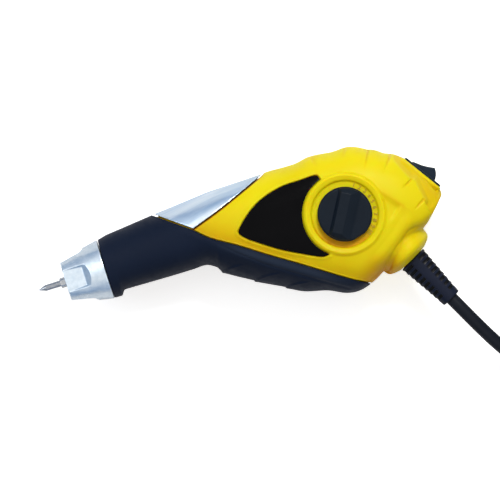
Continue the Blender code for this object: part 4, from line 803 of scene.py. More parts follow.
SCREWS = [(0.4463, 0.2540), (0.6625, 0.8167), (0.8400, 0.8667), (0.7750, 0.1800)]
WELL_TOP, WELL_RADIUS = 0.0105, 0.0031

# The flat that the switch sits in, its block, and the holes for case and bezel
DECK_FRONT = plan((0.9105, 0.9053))
DECK_REAR = plan((0.9975, 0.7180))
DECK_HALF = (DECK_REAR - DECK_FRONT).length / 2
DECK_TURN = math.atan2(*(DECK_REAR - DECK_FRONT).yx)
DECK = frame_matrix((DECK_FRONT + DECK_REAR) / 2, DECK_TURN)
BLOCK_SPARE, BLOCK_DEPTH, BLOCK_HALF, BLOCK_ROUND = 0.0010, 0.0070, 0.0095, 0.0010
CASE_HOLE = (0.0098, 0.0125, 0.0067)
BEZEL_SEAT = (0.0108, 0.0002, 0.0078)


def hole(name, size):
    """A box of half length, depth and half width, open upward in Y."""
    return box(name, (-size[0], -size[1], -size[2]), (size[0], OVER, size[2]))


def deck_block():
    half = DECK_HALF + BLOCK_SPARE
    block = box("deck", (-half, -BLOCK_DEPTH, -BLOCK_HALF), (half, 0, BLOCK_HALF))
    return moved(rounded_edges(block, BLOCK_ROUND, 3), DECK)


def deck_trim():
    reach = HALF_WIDTH + OVER
    return moved(box("trim", (-DECK_HALF, 0, -reach), (DECK_HALF, BLOCK_DEPTH, reach)), DECK)


def seat(outlines, low, high, thickness):
    """The room that skins take, with the gap round them."""
    room = None
    for outline in outlines:
        zone = prism("zone", offset_outline(outline, GAP), low, high)
        room = cut(room, zone, "UNION") if room else zone
        low += GAP
        high -= GAP
    return cut(room, inner_solid(thickness + GAP))


def half_shell(side):
    low, high = heights(side)
    half = body_solid()
    cut(half, deck_block(), "UNION")
    deeper = Matrix.Diagonal((1, 1, LOBE_DEEPER, 1))
    cut(half, moved(turned("lobe", LOBE, 128), BOSS @ deeper), "UNION")
    if side > 0:
        cut(half, moved(turned("lip", LIP, 128), UPRIGHT), "UNION")
    cut(half, deck_trim())
    top = high + OVER if side > 0 else high
    cut(half, box("side", (-FAR, -FAR / 2, low), (FAR, FAR / 2, top)), "INTERSECT")
    cut(half, seat([grip_outline(), top_outline()], *WHOLE, SKIN))
    if side > 0:
        cut(half, seat([panel_outline()], *heights(1), PANEL_SKIN))
        cut(half, moved(turned("dish", DISH, 128), UPRIGHT))
    moulded(half, VOXEL, ROUNDS)

    def shape(spots, up, verts):
        amount = (slopes(spots, up) - creases(spots)) * knob_ring(spots)
        amount = amount + edge_valley(spots) * up
        if side > 0:
            amount = amount + rim_of_panel(spots) * knob_ring(spots) * up
        return amount * off_seam(verts, SEAM_END)

    sculpt(half, shape)
    rows = BARREL[1:] + BODY[:-3]
    cut(half, lofted("cavity", [section(row, CAVITY_INSET, CAVITY_RING) for row in rows]))
    bore = rod("spigot_bore", -OVER, SPIGOT_BORE_END, SPIGOT_BORE_RADIUS, 64)
    cut(half, moved(bore, STROKE))
    cut(half, moved(turned("room", LOBE_ROOM, 48), BOSS))
    cut(half, moved(hole("window", CASE_HOLE), DECK))
    cut(half, moved(hole("rim", BEZEL_SEAT), DECK))
    cut(half, moved(rod("mouth", -MOUTH_DEPTH, OVER, MOUTH_RADIUS, 64), BOSS))
    if side > 0:
        cut(half, post("bore", DIAL, MIDDLE_Z, BORE_TOP, SHAFT_HOLE))
    else:
        for share in SCREWS:
            cut(half, post("well", plan(share), -OVER, WELL_TOP, WELL_RADIUS))
    return half


def skin(outline, low, high, thickness, voxel, rounds, shape=None):
    """A skin of the body inside an outline, sculpted before it is hollowed."""
    piece = body_solid()
    cut(piece, prism("zone", outline, low, high), "INTERSECT")
    moulded(piece, voxel, rounds)
    if shape:
        sculpt(piece, shape)
    return cut(piece, inner_solid(thickness))


def grip_shape(spots, up, verts):
    amount = grip_features(spots, up) + edge_valley(spots) * up
    return amount * off_seam(verts, GRIP_SEAM_END)


def make_housing():
    left, right = half_shell(1), half_shell(-1)
    shade(left, housing_tone)
    dress(left, "housing_upper", "pen", "yellow_plastic", "yellow", "housing_left")
    dress(right, "housing_lower", "pen", "yellow_plastic", "yellow", "housing_right")
    for side, name, node in (
        (1, "grip_upper", "soft_grip_left"),
        (-1, "grip_lower", "soft_grip_right"),
    ):
        outline = offset_outline(grip_outline(), -GAP / 2)
        grip = skin(outline, *heights(side), SKIN, VOXEL, ROUNDS, grip_shape)
        if side < 0:
            cut(grip, post("well", plan(SCREWS[0]), -OVER, MIDDLE_Z - GAP, WELL_RADIUS))
        shade(grip, grip_tone)
        dress(grip, name, "pen", "blue_black_rubber", "rubber", node)
    top = skin(offset_outline(top_outline(), -GAP), *WHOLE, SKIN, VOXEL, ROUNDS)
    dress(top, "top_shield", "pen", "silver_paint", "silver", "top_panel")
    outline = offset_outline(panel_outline(), -GAP / 2)
    panel = skin(outline, *heights(1), PANEL_SKIN, PANEL_VOXEL, PANEL_ROUNDS)
    dress(panel, "black_inlay", "pen", "black_panel", "panel", "side_panel")


SHARP = math.radians(40)


def dress(thing, name, body, slot, finish, *nodes, smooth=True):
    """Name a piece, give it its finish, and let it ride on a body."""
    thing.name = name
    thing.data.name = name
    thing.data.materials.clear()
    thing.data.materials.append(FINISHES[finish])
    if smooth:
        cleaned(thing)
        thing.data.shade_smooth()
        thing.data.set_sharp_from_angle(angle=SHARP)
    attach(thing, body)
    if nodes:
        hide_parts(*nodes)
    return thing


# Materials
class Tree:
    """Shader nodes, added and joined by short calls."""

    def __init__(self, tree):
        self.tree = tree

    def add(self, kind, **values):
        node = self.tree.nodes.new(kind)
        for key, value in values.items():
            setattr(node, key, value)
        return node

    def join(self, out, into):
        self.tree.links.new(out, into)

    def ranged(self, value, low, high, low_in=0.3, high_in=0.7):
        node = self.add("ShaderNodeMapRange")
        node.inputs["From Min"].default_value = low_in
        node.inputs["From Max"].default_value = high_in
        node.inputs["To Min"].default_value = low
        node.inputs["To Max"].default_value = high
        self.join(value, node.inputs["Value"])
        return node.outputs["Result"]

    def mixed(self, share, first, second):
        """A mix of two colours, either of which may come from a node."""
        node = self.add("ShaderNodeMix", data_type="RGBA")
        self.join(share, node.inputs[0])
        for value, socket in ((first, node.inputs[6]), (second, node.inputs[7])):
            if isinstance(value, tuple):
                socket.default_value = (*value, 1)
            else:
                self.join(value, socket)
        return node.outputs[2]


class Finish(Tree):
    """A material whose colour, roughness and bump come from its nodes."""

    def __init__(self, name, colour, roughness, metallic=0.0, specular=0.5):
        self.material = bpy.data.materials.new(name)
        self.material.use_nodes = True
        super().__init__(self.material.node_tree)
        self.inputs = self.tree.nodes["Principled BSDF"].inputs
        self.inputs["Base Color"].default_value = (*colour, 1)
        self.inputs["Roughness"].default_value = roughness
        self.inputs["Metallic"].default_value = metallic
        self.inputs["Specular IOR Level"].default_value = specular
        self.place = self.add("ShaderNodeTexCoord").outputs["Object"]
        self.height = None

    def noise(self, scale, detail, rough=0.5, vector=None):
        node = self.add("ShaderNodeTexNoise")
        node.inputs["Scale"].default_value = scale
        node.inputs["Detail"].default_value = detail
        node.inputs["Roughness"].default_value = rough
        self.join(vector or self.place, node.inputs["Vector"])
        return node.outputs["Fac"]

    def clouded(self, scale, detail, first, second, rough=0.5, vector=None):
        """A colour that drifts between two."""
        drift = self.ranged(self.noise(scale, detail, rough, vector), 0, 1)
        return self.mixed(drift, first, second)

    def shaded(self, colour, deeper, start=0):
        """A colour that turns to another, a painted shade or sheen, over one step of the stored
        painted light.
        """
        stored = self.add("ShaderNodeAttribute", attribute_name="shade").outputs["Fac"]
        return self.mixed(self.ranged(stored, 0, 1, start, start + 1), colour, deeper)

    def colour(self, out):
        self.join(out, self.inputs["Base Color"])

    def rough(self, scale, low, high):
        self.join(self.ranged(self.noise(scale, 3), low, high), self.inputs["Roughness"])

    def bumps(self, scale, detail, strength, distance, rough=0.5):
        node = self.add("ShaderNodeBump")
        node.inputs["Strength"].default_value = strength
        node.inputs["Distance"].default_value = distance
        self.join(self.noise(scale, detail, rough), node.inputs["Height"])
        if self.height is not None:
            self.join(self.height, node.inputs["Normal"])
        self.height = node.outputs["Normal"]
        self.join(self.height, self.inputs["Normal"])


def yellow_plastic():
    n = Finish("yellow_plastic_fine", (0.78, 0.66, 0.004), 0.44, 0.0, 0.12)
    n.inputs["Subsurface Weight"].default_value = 0.40
    n.inputs["Subsurface Radius"].default_value = (0.0045, 0.0016, 0.0002)
    n.inputs["Subsurface Scale"].default_value = 1.0
    base = n.clouded(38, 2, (0.79, 0.68, 0.004), (0.76, 0.62, 0.003))
    # Painted shade: orange near the rubber and in the creases, slopes, lobe and dish, dark brown in
    # the joint with the silver shield.
    n.colour(n.shaded(n.shaded(base, (0.66, 0.30, 0.001)), (0.05, 0.012, 0.001), 1))
    n.rough(900, 0.38, 0.52)
    n.bumps(2600, 2, 0.10, 0.00008)
    return n.material


def rubber():
    n = Finish("soft_rubber_fine", (0.004, 0.007, 0.020), 0.55, 0.0, 0.09)
    n.inputs["Sheen Weight"].default_value = 0.03
    n.inputs["Sheen Roughness"].default_value = 0.5
    base = n.clouded(30, 3, (0.0028, 0.0074, 0.0215), (0.0046, 0.0102, 0.0275))
    # Painted sheen: the stored painted light turns the rubber paler near the shell.
    n.colour(n.shaded(base, (0.020, 0.031, 0.056)))
    n.rough(300, 0.46, 0.62)
    n.bumps(1900, 3, 0.22, 0.00010)
    return n.material


def boot_rubber():
    n = Finish("boot_rubber_fine", (0.004, 0.007, 0.018), 0.40, 0.0, 0.14)
    base = n.clouded(50, 2, (0.004, 0.007, 0.019), (0.008, 0.012, 0.030))
    # Painted shade: the stored painted light turns the slots nearly black.
    n.colour(n.shaded(base, (0.0004, 0.0006, 0.0016)))
    n.rough(450, 0.32, 0.46)
    n.bumps(1500, 2, 0.12, 0.00006)
    return n.material


def silver():
    """Silver lacquer whose colour holds painted reflections: long darker blue-grey streaks along
    the shield.
    """
    n = Finish("silver_shield_fine", (0.80, 0.86, 0.92), 0.34, 0.85)
    turn = n.add("ShaderNodeMapping")
    turn.inputs["Rotation"].default_value = (0, 0, math.radians(-29))
    n.join(n.place, turn.inputs["Vector"])
    stretch = n.add("ShaderNodeMapping")
    stretch.inputs["Scale"].default_value = (14, 260, 260)
    n.join(turn.outputs["Vector"], stretch.inputs["Vector"])
    reflection_streaks = stretch.outputs["Vector"]
    # Painted reflections: the colour drifts from blue-grey to pale along long streaks.
    n.colour(n.clouded(1.0, 3, (0.47, 0.62, 0.79), (0.76, 0.85, 0.94), vector=reflection_streaks))
    n.rough(500, 0.28, 0.40)
    n.bumps(60, 3, 0.30, 0.0010)
    n.bumps(2200, 2, 0.06, 0.00004)
    return n.material


def gloss_black():
    n = Finish("gloss_black_fine", (0.002, 0.002, 0.003), 0.16, 0.0, 0.05)
    n.colour(n.clouded(60, 2, (0.0015, 0.0015, 0.0020), (0.0028, 0.0028, 0.0034)))
    n.rough(420, 0.13, 0.22)
    n.bumps(700, 2, 0.05, 0.00003)
    return n.material


def metal(name, low, high, smooth, coarse, scale, metallic=1.0, wave=0):
    """A turned metal; the wave is the scale of its broad unevenness."""
    n = Finish(name, low, smooth, metallic)
    n.colour(n.clouded(scale, 4, low, high, 0.6))
    n.rough(scale * 0.4, smooth, coarse)
    if wave:
        n.bumps(wave, 2, 0.5, 0.0007)
    n.bumps(scale, 4, 0.10, 0.00004, 0.6)
    return n.material


def plastic(name, low, high, rough, specular=0.3, grain=1500, depth=0.00006, strength=0.12):
    n = Finish(name, low, rough[0], 0.0, specular)
    n.colour(n.clouded(50, 2, low, high))
    n.rough(grain * 0.3, *rough)
    n.bumps(grain, 2, strength, depth)
    return n.material


def make_finishes():
    pale, bright = (0.58, 0.68, 0.77), (0.74, 0.82, 0.89)
    ink, slate = (0.003, 0.007, 0.014), (0.005, 0.010, 0.018)
    navy, blue = (0.005, 0.013, 0.026), (0.008, 0.018, 0.034)
    jet, soot = (0.004, 0.006, 0.011), (0.007, 0.009, 0.015)
    return {
        "yellow": yellow_plastic(),
        "rubber": rubber(),
        "silver": silver(),
        "panel": gloss_black(),
        "boot": boot_rubber(),
        "aluminium": metal("aluminium_fine", pale, bright, 0.26, 0.40, 420, 0.95, 150),
        "steel": metal("steel_fine", (0.42, 0.43, 0.45), (0.60, 0.61, 0.63), 0.18, 0.32, 800),
        "carbide": metal("carbide_fine", (0.24, 0.26, 0.29), (0.44, 0.46, 0.50), 0.08, 0.16, 900),
        "bronze": metal("bronze_fine", (0.42, 0.26, 0.11), (0.58, 0.38, 0.18), 0.35, 0.5, 1200),
        "iron": metal("iron_fine", (0.16, 0.16, 0.17), (0.26, 0.26, 0.27), 0.35, 0.5, 900),
        "copper": metal("copper_fine", (0.40, 0.13, 0.04), (0.60, 0.22, 0.08), 0.25, 0.4, 600, 0.9),
        "brass": metal("brass_fine", (0.55, 0.52, 0.43), (0.70, 0.67, 0.58), 0.2, 0.34, 700),
        "nylon": plastic("nylon_fine", (0.70, 0.68, 0.60), (0.78, 0.76, 0.70), (0.42, 0.55)),
        "knob": plastic("knob_fine", ink, slate, (0.30, 0.44), 0.12),
        "switch": plastic("switch_fine", navy, blue, (0.26, 0.38), 0.14),
        "cord": plastic("cord_fine", jet, soot, (0.40, 0.55), 0.14, 1100, 0.00010, 0.2),
        "mark": plastic("mark_fine", (0.52, 0.38, 0.010), (0.46, 0.32, 0.006), (0.35, 0.45)),
    }


# The nose. It is measured back from its seat on the housing, so it lies below 0,
# and its spigot and the bore for the bush reach back above 0.
NOSE_SEAT = 0.01425
NOSE_FRONT = 0.0106
NOSE_HOLE = 0.0029
NOSE_LENGTH = 0.0198
NOSE_RIM = 0.0008
BUSH_BORE, BUSH_FRONT = 0.0063, 0.0053
SPIGOT_RADIUS, SPIGOT_ROUND = 0.0085, 0.0002
NOSE = [
    (-BUSH_FRONT, NOSE_HOLE),
    (-BUSH_FRONT, BUSH_BORE),
    (SPIGOT_LENGTH, BUSH_BORE),
    (SPIGOT_LENGTH, SPIGOT_RADIUS - SPIGOT_ROUND),
    (SPIGOT_LENGTH - SPIGOT_ROUND, SPIGOT_RADIUS),
    (-GAP, SPIGOT_RADIUS),
    (-GAP, NOSE_SEAT - 0.0003),
    (-GAP - 0.0002, NOSE_SEAT - 0.0001),
    (-GAP - 0.0005, NOSE_SEAT),
    (-NOSE_RIM, NOSE_SEAT),
    (-NOSE_LENGTH + 0.0005, NOSE_FRONT + 0.0001),
    (-NOSE_LENGTH + 0.0001, NOSE_FRONT - 0.0001),
    (-NOSE_LENGTH, NOSE_FRONT - 0.0004),
    (-NOSE_LENGTH, NOSE_HOLE + 0.0007),
    (-NOSE_LENGTH + 0.0006, NOSE_HOLE),
]
NOSE_VOXEL = 0.00018
FLATS = 4
FLAT_LENGTH, FLAT_WALL = 0.0123, 0.0030
FLAT_FRONT_DEPTH, FLAT_REAR_DEPTH = 0.0015, 0.0022
FLAT_FRONT_HALF, FLAT_REAR_HALF = 0.0056, 0.0043
FLAT_SIDE_LEAN, FLAT_SIDE_HEIGHT = 0.0078, 0.0070
FLAT_WALL_OVER, FLAT_WALL_WIDER = 1.5, 0.9


def cone_radius(along):
    return NOSE_FRONT + (NOSE_SEAT - NOSE_FRONT) * along / (NOSE_LENGTH - NOSE_RIM)


def flat_cut():
    """One flat: it deepens and narrows toward the back, and ends in a sloped wall."""
    length = FLAT_LENGTH - FLAT_WALL
    front = NOSE_FRONT - FLAT_FRONT_DEPTH
    rear = cone_radius(length) - FLAT_REAR_DEPTH
    fall = (rear - front) / length * OVER
    rise = cone_radius(FLAT_LENGTH) - rear
    wall_end = length + FLAT_WALL * FLAT_WALL_OVER
    rows = [
        (-OVER, front - fall, FLAT_FRONT_HALF),
        (length, rear, FLAT_REAR_HALF),
        (wall_end, rear + rise * FLAT_WALL_OVER, FLAT_REAR_HALF + FLAT_WALL * FLAT_WALL_WIDER),
    ]
    sections = []
    for along, floor, half in rows:
        wide, top = half + FLAT_SIDE_LEAN, floor + FLAT_SIDE_HEIGHT
        corners = [(-half, floor), (half, floor), (wide, top), (-wide, top)]
        sections.append([(along - NOSE_LENGTH, y, z) for y, z in corners])
    return lofted("flat", sections)


def make_nose():
    nose = turned("nose", NOSE, 128)
    for index in range(FLATS):
        cut(nose, moved(flat_cut(), Matrix.Rotation(math.tau * index / FLATS, 4, "X")))
    moulded(nose, NOSE_VOXEL, 1)
    moved(nose, STROKE)
    dress(nose, "nose_cone_fine", "pen", "turned_aluminium", "aluminium", "nose_cone")


# The needle, with its ground tip, and how far they stand out of the nose
HOLDER_OUT, TIP_OUT = 0.0027, 0.0108
NEEDLE_BACK, NEEDLE_RADIUS = 0.0130, 0.00145
NEEDLE_TIP = [
    (0.0040, NEEDLE_RADIUS), (0.0035, 0.00141), (0.0020, 0.00090),
    (0.0006, 0.00038), (0.0001, 0.00018), (0, 0),
]


def make_needle():
    holder = -NOSE_LENGTH - HOLDER_OUT
    profile = [(holder + NEEDLE_BACK, 0), (holder + NEEDLE_BACK, NEEDLE_RADIUS)]
    profile += [(holder - TIP_OUT + along, radius) for along, radius in NEEDLE_TIP]
    needle = moved(turned("needle", profile, 64), STROKE)
    dress(needle, "needle_fine", "striker", "carbide", "carbide", "engraving_needle")


# The return spring, which lies between the spigot and the striker's washer
SPRING_LENGTH = 0.0190
SPRING_RADIUS = 0.0046
SPRING_WIRE = 0.0011
SPRING_TURNS, SPRING_TURN_STEPS = 7, 36
SPRING_END_PITCH = 0.00125


def make_spring():
    """The spring, with a closed turn at each end, made at one length; in the pen the striker
    presses it shorter.
    """
    travel = SPRING_LENGTH - SPRING_WIRE - GAP
    marks = [0, 1, SPRING_TURNS - 1, SPRING_TURNS]
    rises = [0, SPRING_END_PITCH, travel - SPRING_END_PITCH, travel]
    start = SPIGOT_LENGTH + GAP + SPRING_WIRE / 2
    points = []
    for index in range(SPRING_TURNS * SPRING_TURN_STEPS + 1):
        turns = index / SPRING_TURN_STEPS
        place = direction(math.tau * turns) * SPRING_RADIUS
        points.append((start + np.interp(turns, marks, rises), place.x, place.y))
    spring = moved(as_mesh("spring", tube("spring", points, SPRING_WIRE / 2)), STROKE)
    dress(spring, "return_spring_fine", "pen", "bright_steel", "steel", "return_spring")
    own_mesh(spring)


# The dial: the knob's flattened side, its rim as insets and heights, and its bar
KNOB_Z = 0.0453
KNOB_FACE = 0.0489
KNOB_RADIUS, KNOB_FLAT, KNOB_FLAT_TURN = 0.0128, 0.01245, math.radians(-57.0)
KNOB_STEPS = 160
KNOB_RIM = [
    (0.0003, KNOB_Z),
    (0, KNOB_Z + 0.0003),
    (0, KNOB_FACE - 0.0013),
    (0.0001, KNOB_FACE - 0.0008),
    (0.00038, KNOB_FACE - 0.00038),
    (0.0008, KNOB_FACE - 0.0001),
    (0.0013, KNOB_FACE),
]
KNOB_VOXEL, KNOB_ROUNDS = 0.00022, 2
SOCKET_DEPTH = 0.0040
BAR_HALF, BAR_REACH, BAR_HEIGHT, BAR_ROOT = 0.0054, 0.0122, 0.0026, 0.0018
BAR_LEFT, BAR_RIGHT, BAR_ENDS = 0.0016, 0.0048, 0.0026
BAR_TURN = math.radians(-12.6)
BAR_INSET = 0.0007
NUMBERS = 10
NUMBER_START, NUMBER_STEP = 73.0, 12.0
NUMBER_SIZE, NUMBER_RADIUS = 0.0027, 0.01425
NUMBER_DEPTH, NUMBER_SPREAD, NUMBER_RISE = 0.00022, 0.00006, 0.00020


def knob_outline(inset):
    points = []
    for step in range(KNOB_STEPS):
        angle = math.tau * step / KNOB_STEPS
        toward_flat = math.cos(angle - KNOB_FLAT_TURN)
        radius = KNOB_RADIUS
        if radius * toward_flat > KNOB_FLAT:
            radius = KNOB_FLAT / toward_flat
        points.append(DIAL + direction(angle) * (radius - inset))
    return points


def make_dial():
    knob = lofted("knob", [[(p.x, p.y, z) for p in knob_outline(i)] for i, z in KNOB_RIM])
    foot = [(-BAR_HALF, -BAR_REACH), (BAR_HALF, -BAR_REACH)]
    foot += [(BAR_HALF, BAR_REACH), (-BAR_HALF, BAR_REACH)]
    left, right, end = BAR_LEFT - BAR_HALF, BAR_HALF - BAR_RIGHT, BAR_REACH - BAR_ENDS
    top = [(left, -end), (right, -end), (right, end), (left, end)]
    levels = [(foot, -BAR_ROOT), (foot, 0), (top, BAR_HEIGHT)]
    bar = lofted("bar", [[(x, y, z) for x, y in corners] for corners, z in levels])
    place = Matrix.Translation((DIAL.x, DIAL.y, KNOB_FACE))
    moved(bar, place @ Matrix.Rotation(BAR_TURN, 4, "Z"))
    edge = prism("edge", knob_outline(BAR_INSET), KNOB_Z, KNOB_FACE + BAR_HEIGHT + OVER)
    cut(bar, edge, "INTERSECT")
    cut(knob, bar, "UNION")
    moulded(knob, KNOB_VOXEL, KNOB_ROUNDS)
    cut(knob, post("socket", DIAL, KNOB_Z - OVER, KNOB_Z + SOCKET_DEPTH, SHAFT_HOLE))
    dress(knob, "dial_knob_fine", "dial", "black_knob", "knob", "dial_knob")
    for number in range(1, NUMBERS + 1):
        angle = math.radians(NUMBER_START - (number - 1) * NUMBER_STEP)
        data = bpy.data.curves.new("number", "FONT")
        data.body = str(number)
        data.size = NUMBER_SIZE
        data.align_x = "CENTER"
        data.align_y = "CENTER"
        data.extrude = NUMBER_DEPTH
        data.offset = NUMBER_SPREAD
        data.resolution_u = 4
        figure = as_mesh("number", data)
        spot = DIAL + direction(angle) * NUMBER_RADIUS
        place = Matrix.Translation((spot.x, spot.y, DISH_Z + NUMBER_RISE))
        moved(figure, place @ Matrix.Rotation(angle - math.pi / 2, 4, "Z"))
        dress(figure, f"dial_number_{number}", "pen", "yellow_plastic", "mark", smooth=False)


# The switch: X along the deck, Y outward, and Z across
BEZEL_X, BEZEL_Z, BEZEL_CORNER, BEZEL_TOP = 0.0105, 0.0075, 0.0012, 0.0010
BEZEL_RIM = [(0, 0.0009), (0, 0.0003), (0.00012, 0.0001), (0.0004, 0)]
BEZEL_ROUND = 0.00018
CASE_X, CASE_Z, CASE_DEPTH, CASE_BELOW = 0.0095, 0.0064, 0.0122, 0.00045
MOUTH_X, MOUTH_Z, MOUTH_FLOOR = 0.0074, 0.0054, 0.0084
ROCKER_RADIUS, ROCKER_HALF, ROCKER_ROUND = 0.0070, 0.0051, 0.00035
ROCKER_SKIRT, ROCKER_CORNER = math.radians(-24.0), math.radians(41.0)
ROCKER_STEPS, SADDLE_STEPS = 24, 16
SADDLE_HEIGHT, SADDLE_POWER = 0.0041, 1.5
ROCKER_FOOT, ROCKER_REST = -0.0032, math.radians(23.0)


def rocker_profile():
    """A half disc with a saddle between its two corners, turned to its rest."""
    arc = []
    for step in range(ROCKER_STEPS + 1):
        angle = ROCKER_SKIRT + (ROCKER_CORNER - ROCKER_SKIRT) * step / ROCKER_STEPS
        arc.append((ROCKER_RADIUS * math.cos(angle), ROCKER_RADIUS * math.sin(angle)))
    mirrored = [(-x, y) for x, y in arc[::-1]]
    near, far = Vector(arc[-1]), Vector(mirrored[0])
    profile = list(arc)
    for step in range(1, SADDLE_STEPS):
        way = step / SADDLE_STEPS
        line = near.lerp(far, way)
        dip = (SADDLE_HEIGHT - near.y) * (1 - abs(2 * way - 1) ** SADDLE_POWER)
        profile.append((line.x, line.y + dip))
    profile += mirrored + [(0, ROCKER_FOOT)]
    cosine, sine = math.cos(ROCKER_REST), math.sin(ROCKER_REST)
    return [(x * cosine - y * sine, x * sine + y * cosine) for x, y in profile]


def make_switch():
    outline = rounded(BEZEL_X, BEZEL_Z, BEZEL_CORNER)
    sections = []
    for inset, below in BEZEL_RIM:
        x_share, z_share = 1 - inset / BEZEL_X, 1 - inset / BEZEL_Z
        sections.append([(x * x_share, BEZEL_TOP - below, z * z_share) for x, z in outline])
    bezel = lofted("bezel", sections)
    low, high = (-CASE_X, -CASE_DEPTH, -CASE_Z), (CASE_X, BEZEL_TOP - CASE_BELOW, CASE_Z)
    cut(bezel, box("case", low, high), "UNION")
    low = (-MOUTH_X, BEZEL_TOP - MOUTH_FLOOR, -MOUTH_Z)
    cut(bezel, box("window", low, (MOUTH_X, BEZEL_TOP + OVER, MOUTH_Z)))
    rounded_edges(bezel, BEZEL_ROUND, 2, 50)
    moved(bezel, DECK)
    dress(bezel, "switch_bezel", "pen", "black_switch", "switch", "switch_case")
    rocker = prism("rocker", rocker_profile(), -ROCKER_HALF, ROCKER_HALF)
    rounded_edges(rocker, ROCKER_ROUND, 3, 40)
    moved(rocker, frame_matrix(ROCKER_PIVOT, DECK_TURN))
    dress(rocker, "rocker_fine", "rocker", "black_switch", "switch", "switch_rocker")


# The ribbed boot
BOOT_LENGTH, BOOT_START, BOOT_END = 0.0259, 0.0070, 0.00485
BOOT_FLANGE = [
    (-0.0053, 0), (-0.0053, 0.0074), (-0.0050, 0.0079), (-0.0036, 0.0079), (-0.0033, 0.0076),
    (-0.0033, 0.0056), (GAP, 0.0056), (GAP, 0.0067), (GAP + 0.0003, BOOT_START),
]
BOOT_STEPS, BOOT_ROUND = 24, 0.00022
SLOT_ROWS, SLOT_WIDTH, SLOT_REACH, SLOT_STEPS = 8, 0.0016, 0.0090, 96
SLOT_FROM, SLOT_TO = 0.0009, BOOT_LENGTH - 0.0026
SLOT_DEPTH, CORE_FLATTEN, CORE_LEAST = 0.0003, 0.50, 0.0034
SLOT_SHADE_DEPTH = 0.0004
SPINE_HALF, SPINE_REACH = 0.0021, 0.02
BORE_SPARE, BORE_START, BORE_END = 0.0001, -0.0100, 0.0400


def boot_radius(along):
    return BOOT_START + (BOOT_END - BOOT_START) * along / BOOT_LENGTH


def slot_tone(spots, verts):
    """How much painted shade the boot takes: 0 on its ribs and spines, 1 down in its slots."""
    sunk = boot_radius(verts[:, 0]) - np.hypot(verts[:, 1], verts[:, 2])
    return np.clip(sunk / SLOT_SHADE_DEPTH, 0, 1) * (verts[:, 0] > GAP)


def make_boot():
    profile = list(BOOT_FLANGE)
    for step in range(1, BOOT_STEPS + 1):
        along = GAP + 0.0003 + (BOOT_LENGTH - 0.0006) * step / BOOT_STEPS
        profile.append((along, boot_radius(along)))
    end, last = BOOT_LENGTH + GAP, profile[-1][1]
    profile += [(end - 0.0001, last - 0.00015), (end, last - 0.0005), (end, 0)]
    boot = turned("boot", profile, 96)
    pitch = (SLOT_TO - SLOT_FROM) / SLOT_ROWS
    for row in range(SLOT_ROWS):
        low = SLOT_FROM + pitch * (row + 0.5) - SLOT_WIDTH / 2
        slot = rod("slot", low, low + SLOT_WIDTH, SLOT_REACH, SLOT_STEPS)
        core = rod("core", low - OVER, low + OVER, 1.0, SLOT_STEPS)
        side = boot_radius(low) - SLOT_DEPTH
        moved(core, Matrix.Diagonal((1, side, max(side * CORE_FLATTEN, CORE_LEAST), 1)))
        cut(slot, core)
        ends = (low - OVER, -SPINE_HALF, -SPINE_REACH), (low + OVER, SPINE_HALF, SPINE_REACH)
        cut(slot, box("spine", *ends))
        cut(boot, slot)
    cut(boot, rod("bore", BORE_START, BORE_END, CORD_RADIUS + BORE_SPARE, 64))
    rounded_edges(boot, BOOT_ROUND, 2, 45)
    shade(boot, slot_tone)
    moved(boot, BOSS)
    dress(boot, "boot_fine", "pen", "black_cord", "boot", "strain_relief")


# The cord: the free stretch, as in the part's source, and then a flat coil whose
# turns run inward on the table and outward again on top of themselves
FREE = [
    (0.0954, -0.0342, 0.0230), (0.0998, -0.0386, 0.0229), (0.1067, -0.0455, 0.0214),
    (0.1154, -0.0537, 0.0166), (0.1247, -0.0614, 0.0107), (0.1345, -0.0683, 0.0056),
    (0.1405, -0.0721, 0.0038), (0.1460, -0.0755, 0.0033), (0.1514, -0.0789, 0.0033),
]
FREE_SPLITS = 3
COIL_MEAN, COIL_PITCH, COIL_TURNS = 0.0374, 0.00675, 7.56
TURN_STEPS, CAD_TURN_STEPS = 32, 24
CLIMB_TURNS = 0.5
LAY_Z, PLUG_Z = 0.0033, 0.0072
RUN_IN, RUN_IN_SHARES = 0.0074, (0.25, 0.6)
TAIL, TAIL_SHARES, TAIL_LEVEL_SHARE = 0.0180, (0.2, 0.4, 0.6, 0.8, 1.0), 0.75


def eased(way):
    way = max(0.0, min(1.0, way))
    return way * way * (3 - 2 * way)


def coil_place(turns):
    """A point of the coil after so many turns."""
    heading = (Vector(FREE[-1][:2]) - Vector(FREE[-2][:2])).normalized()
    outer = COIL_MEAN + COIL_PITCH * COIL_TURNS / 4
    inner = COIL_MEAN - COIL_PITCH * COIL_TURNS / 4
    lean = math.atan2(COIL_PITCH / math.tau, outer)
    start = math.atan2(heading.y, heading.x) - math.pi / 2 - lean
    centre = Vector(FREE[-1][:2]) + heading * (GAP + RUN_IN) - direction(start) * outer
    past_middle = turns - COIL_TURNS / 2
    radius = inner + COIL_PITCH * abs(past_middle)
    spot = centre + direction(start + math.tau * turns) * radius
    height = LAY_Z + COIL_PITCH * eased(past_middle / CLIMB_TURNS + 0.5)
    return Vector((spot.x, spot.y, height))


def cord_points():
    """The cord's whole middle line, and the way it points at the plug."""
    free = [Vector(p) for p in smooth_rows(FREE, FREE_SPLITS)]
    steps = round(COIL_TURNS * TURN_STEPS)
    loops = [coil_place(COIL_TURNS * index / steps) for index in range(steps + 1)]
    run = []
    for share in RUN_IN_SHARES:
        spot = Vector(FREE[-1]).lerp(loops[0], share)
        run.append(Vector((spot.x, spot.y, LAY_Z)))
    # The CAD model's last step of the coil sets the plug's heading
    last_step = 1 / round(COIL_TURNS * CAD_TURN_STEPS)
    before = coil_place(COIL_TURNS * (1 - last_step))
    way = (loops[-1] - before).to_2d().normalized()
    tail = []
    for share in TAIL_SHARES:
        drop = (PLUG_Z - loops[-1].z) * eased(share / TAIL_LEVEL_SHARE)
        spot = loops[-1].to_2d() + way * TAIL * share
        tail.append(Vector((spot.x, spot.y, loops[-1].z + drop)))
    return free + run + loops + tail, way


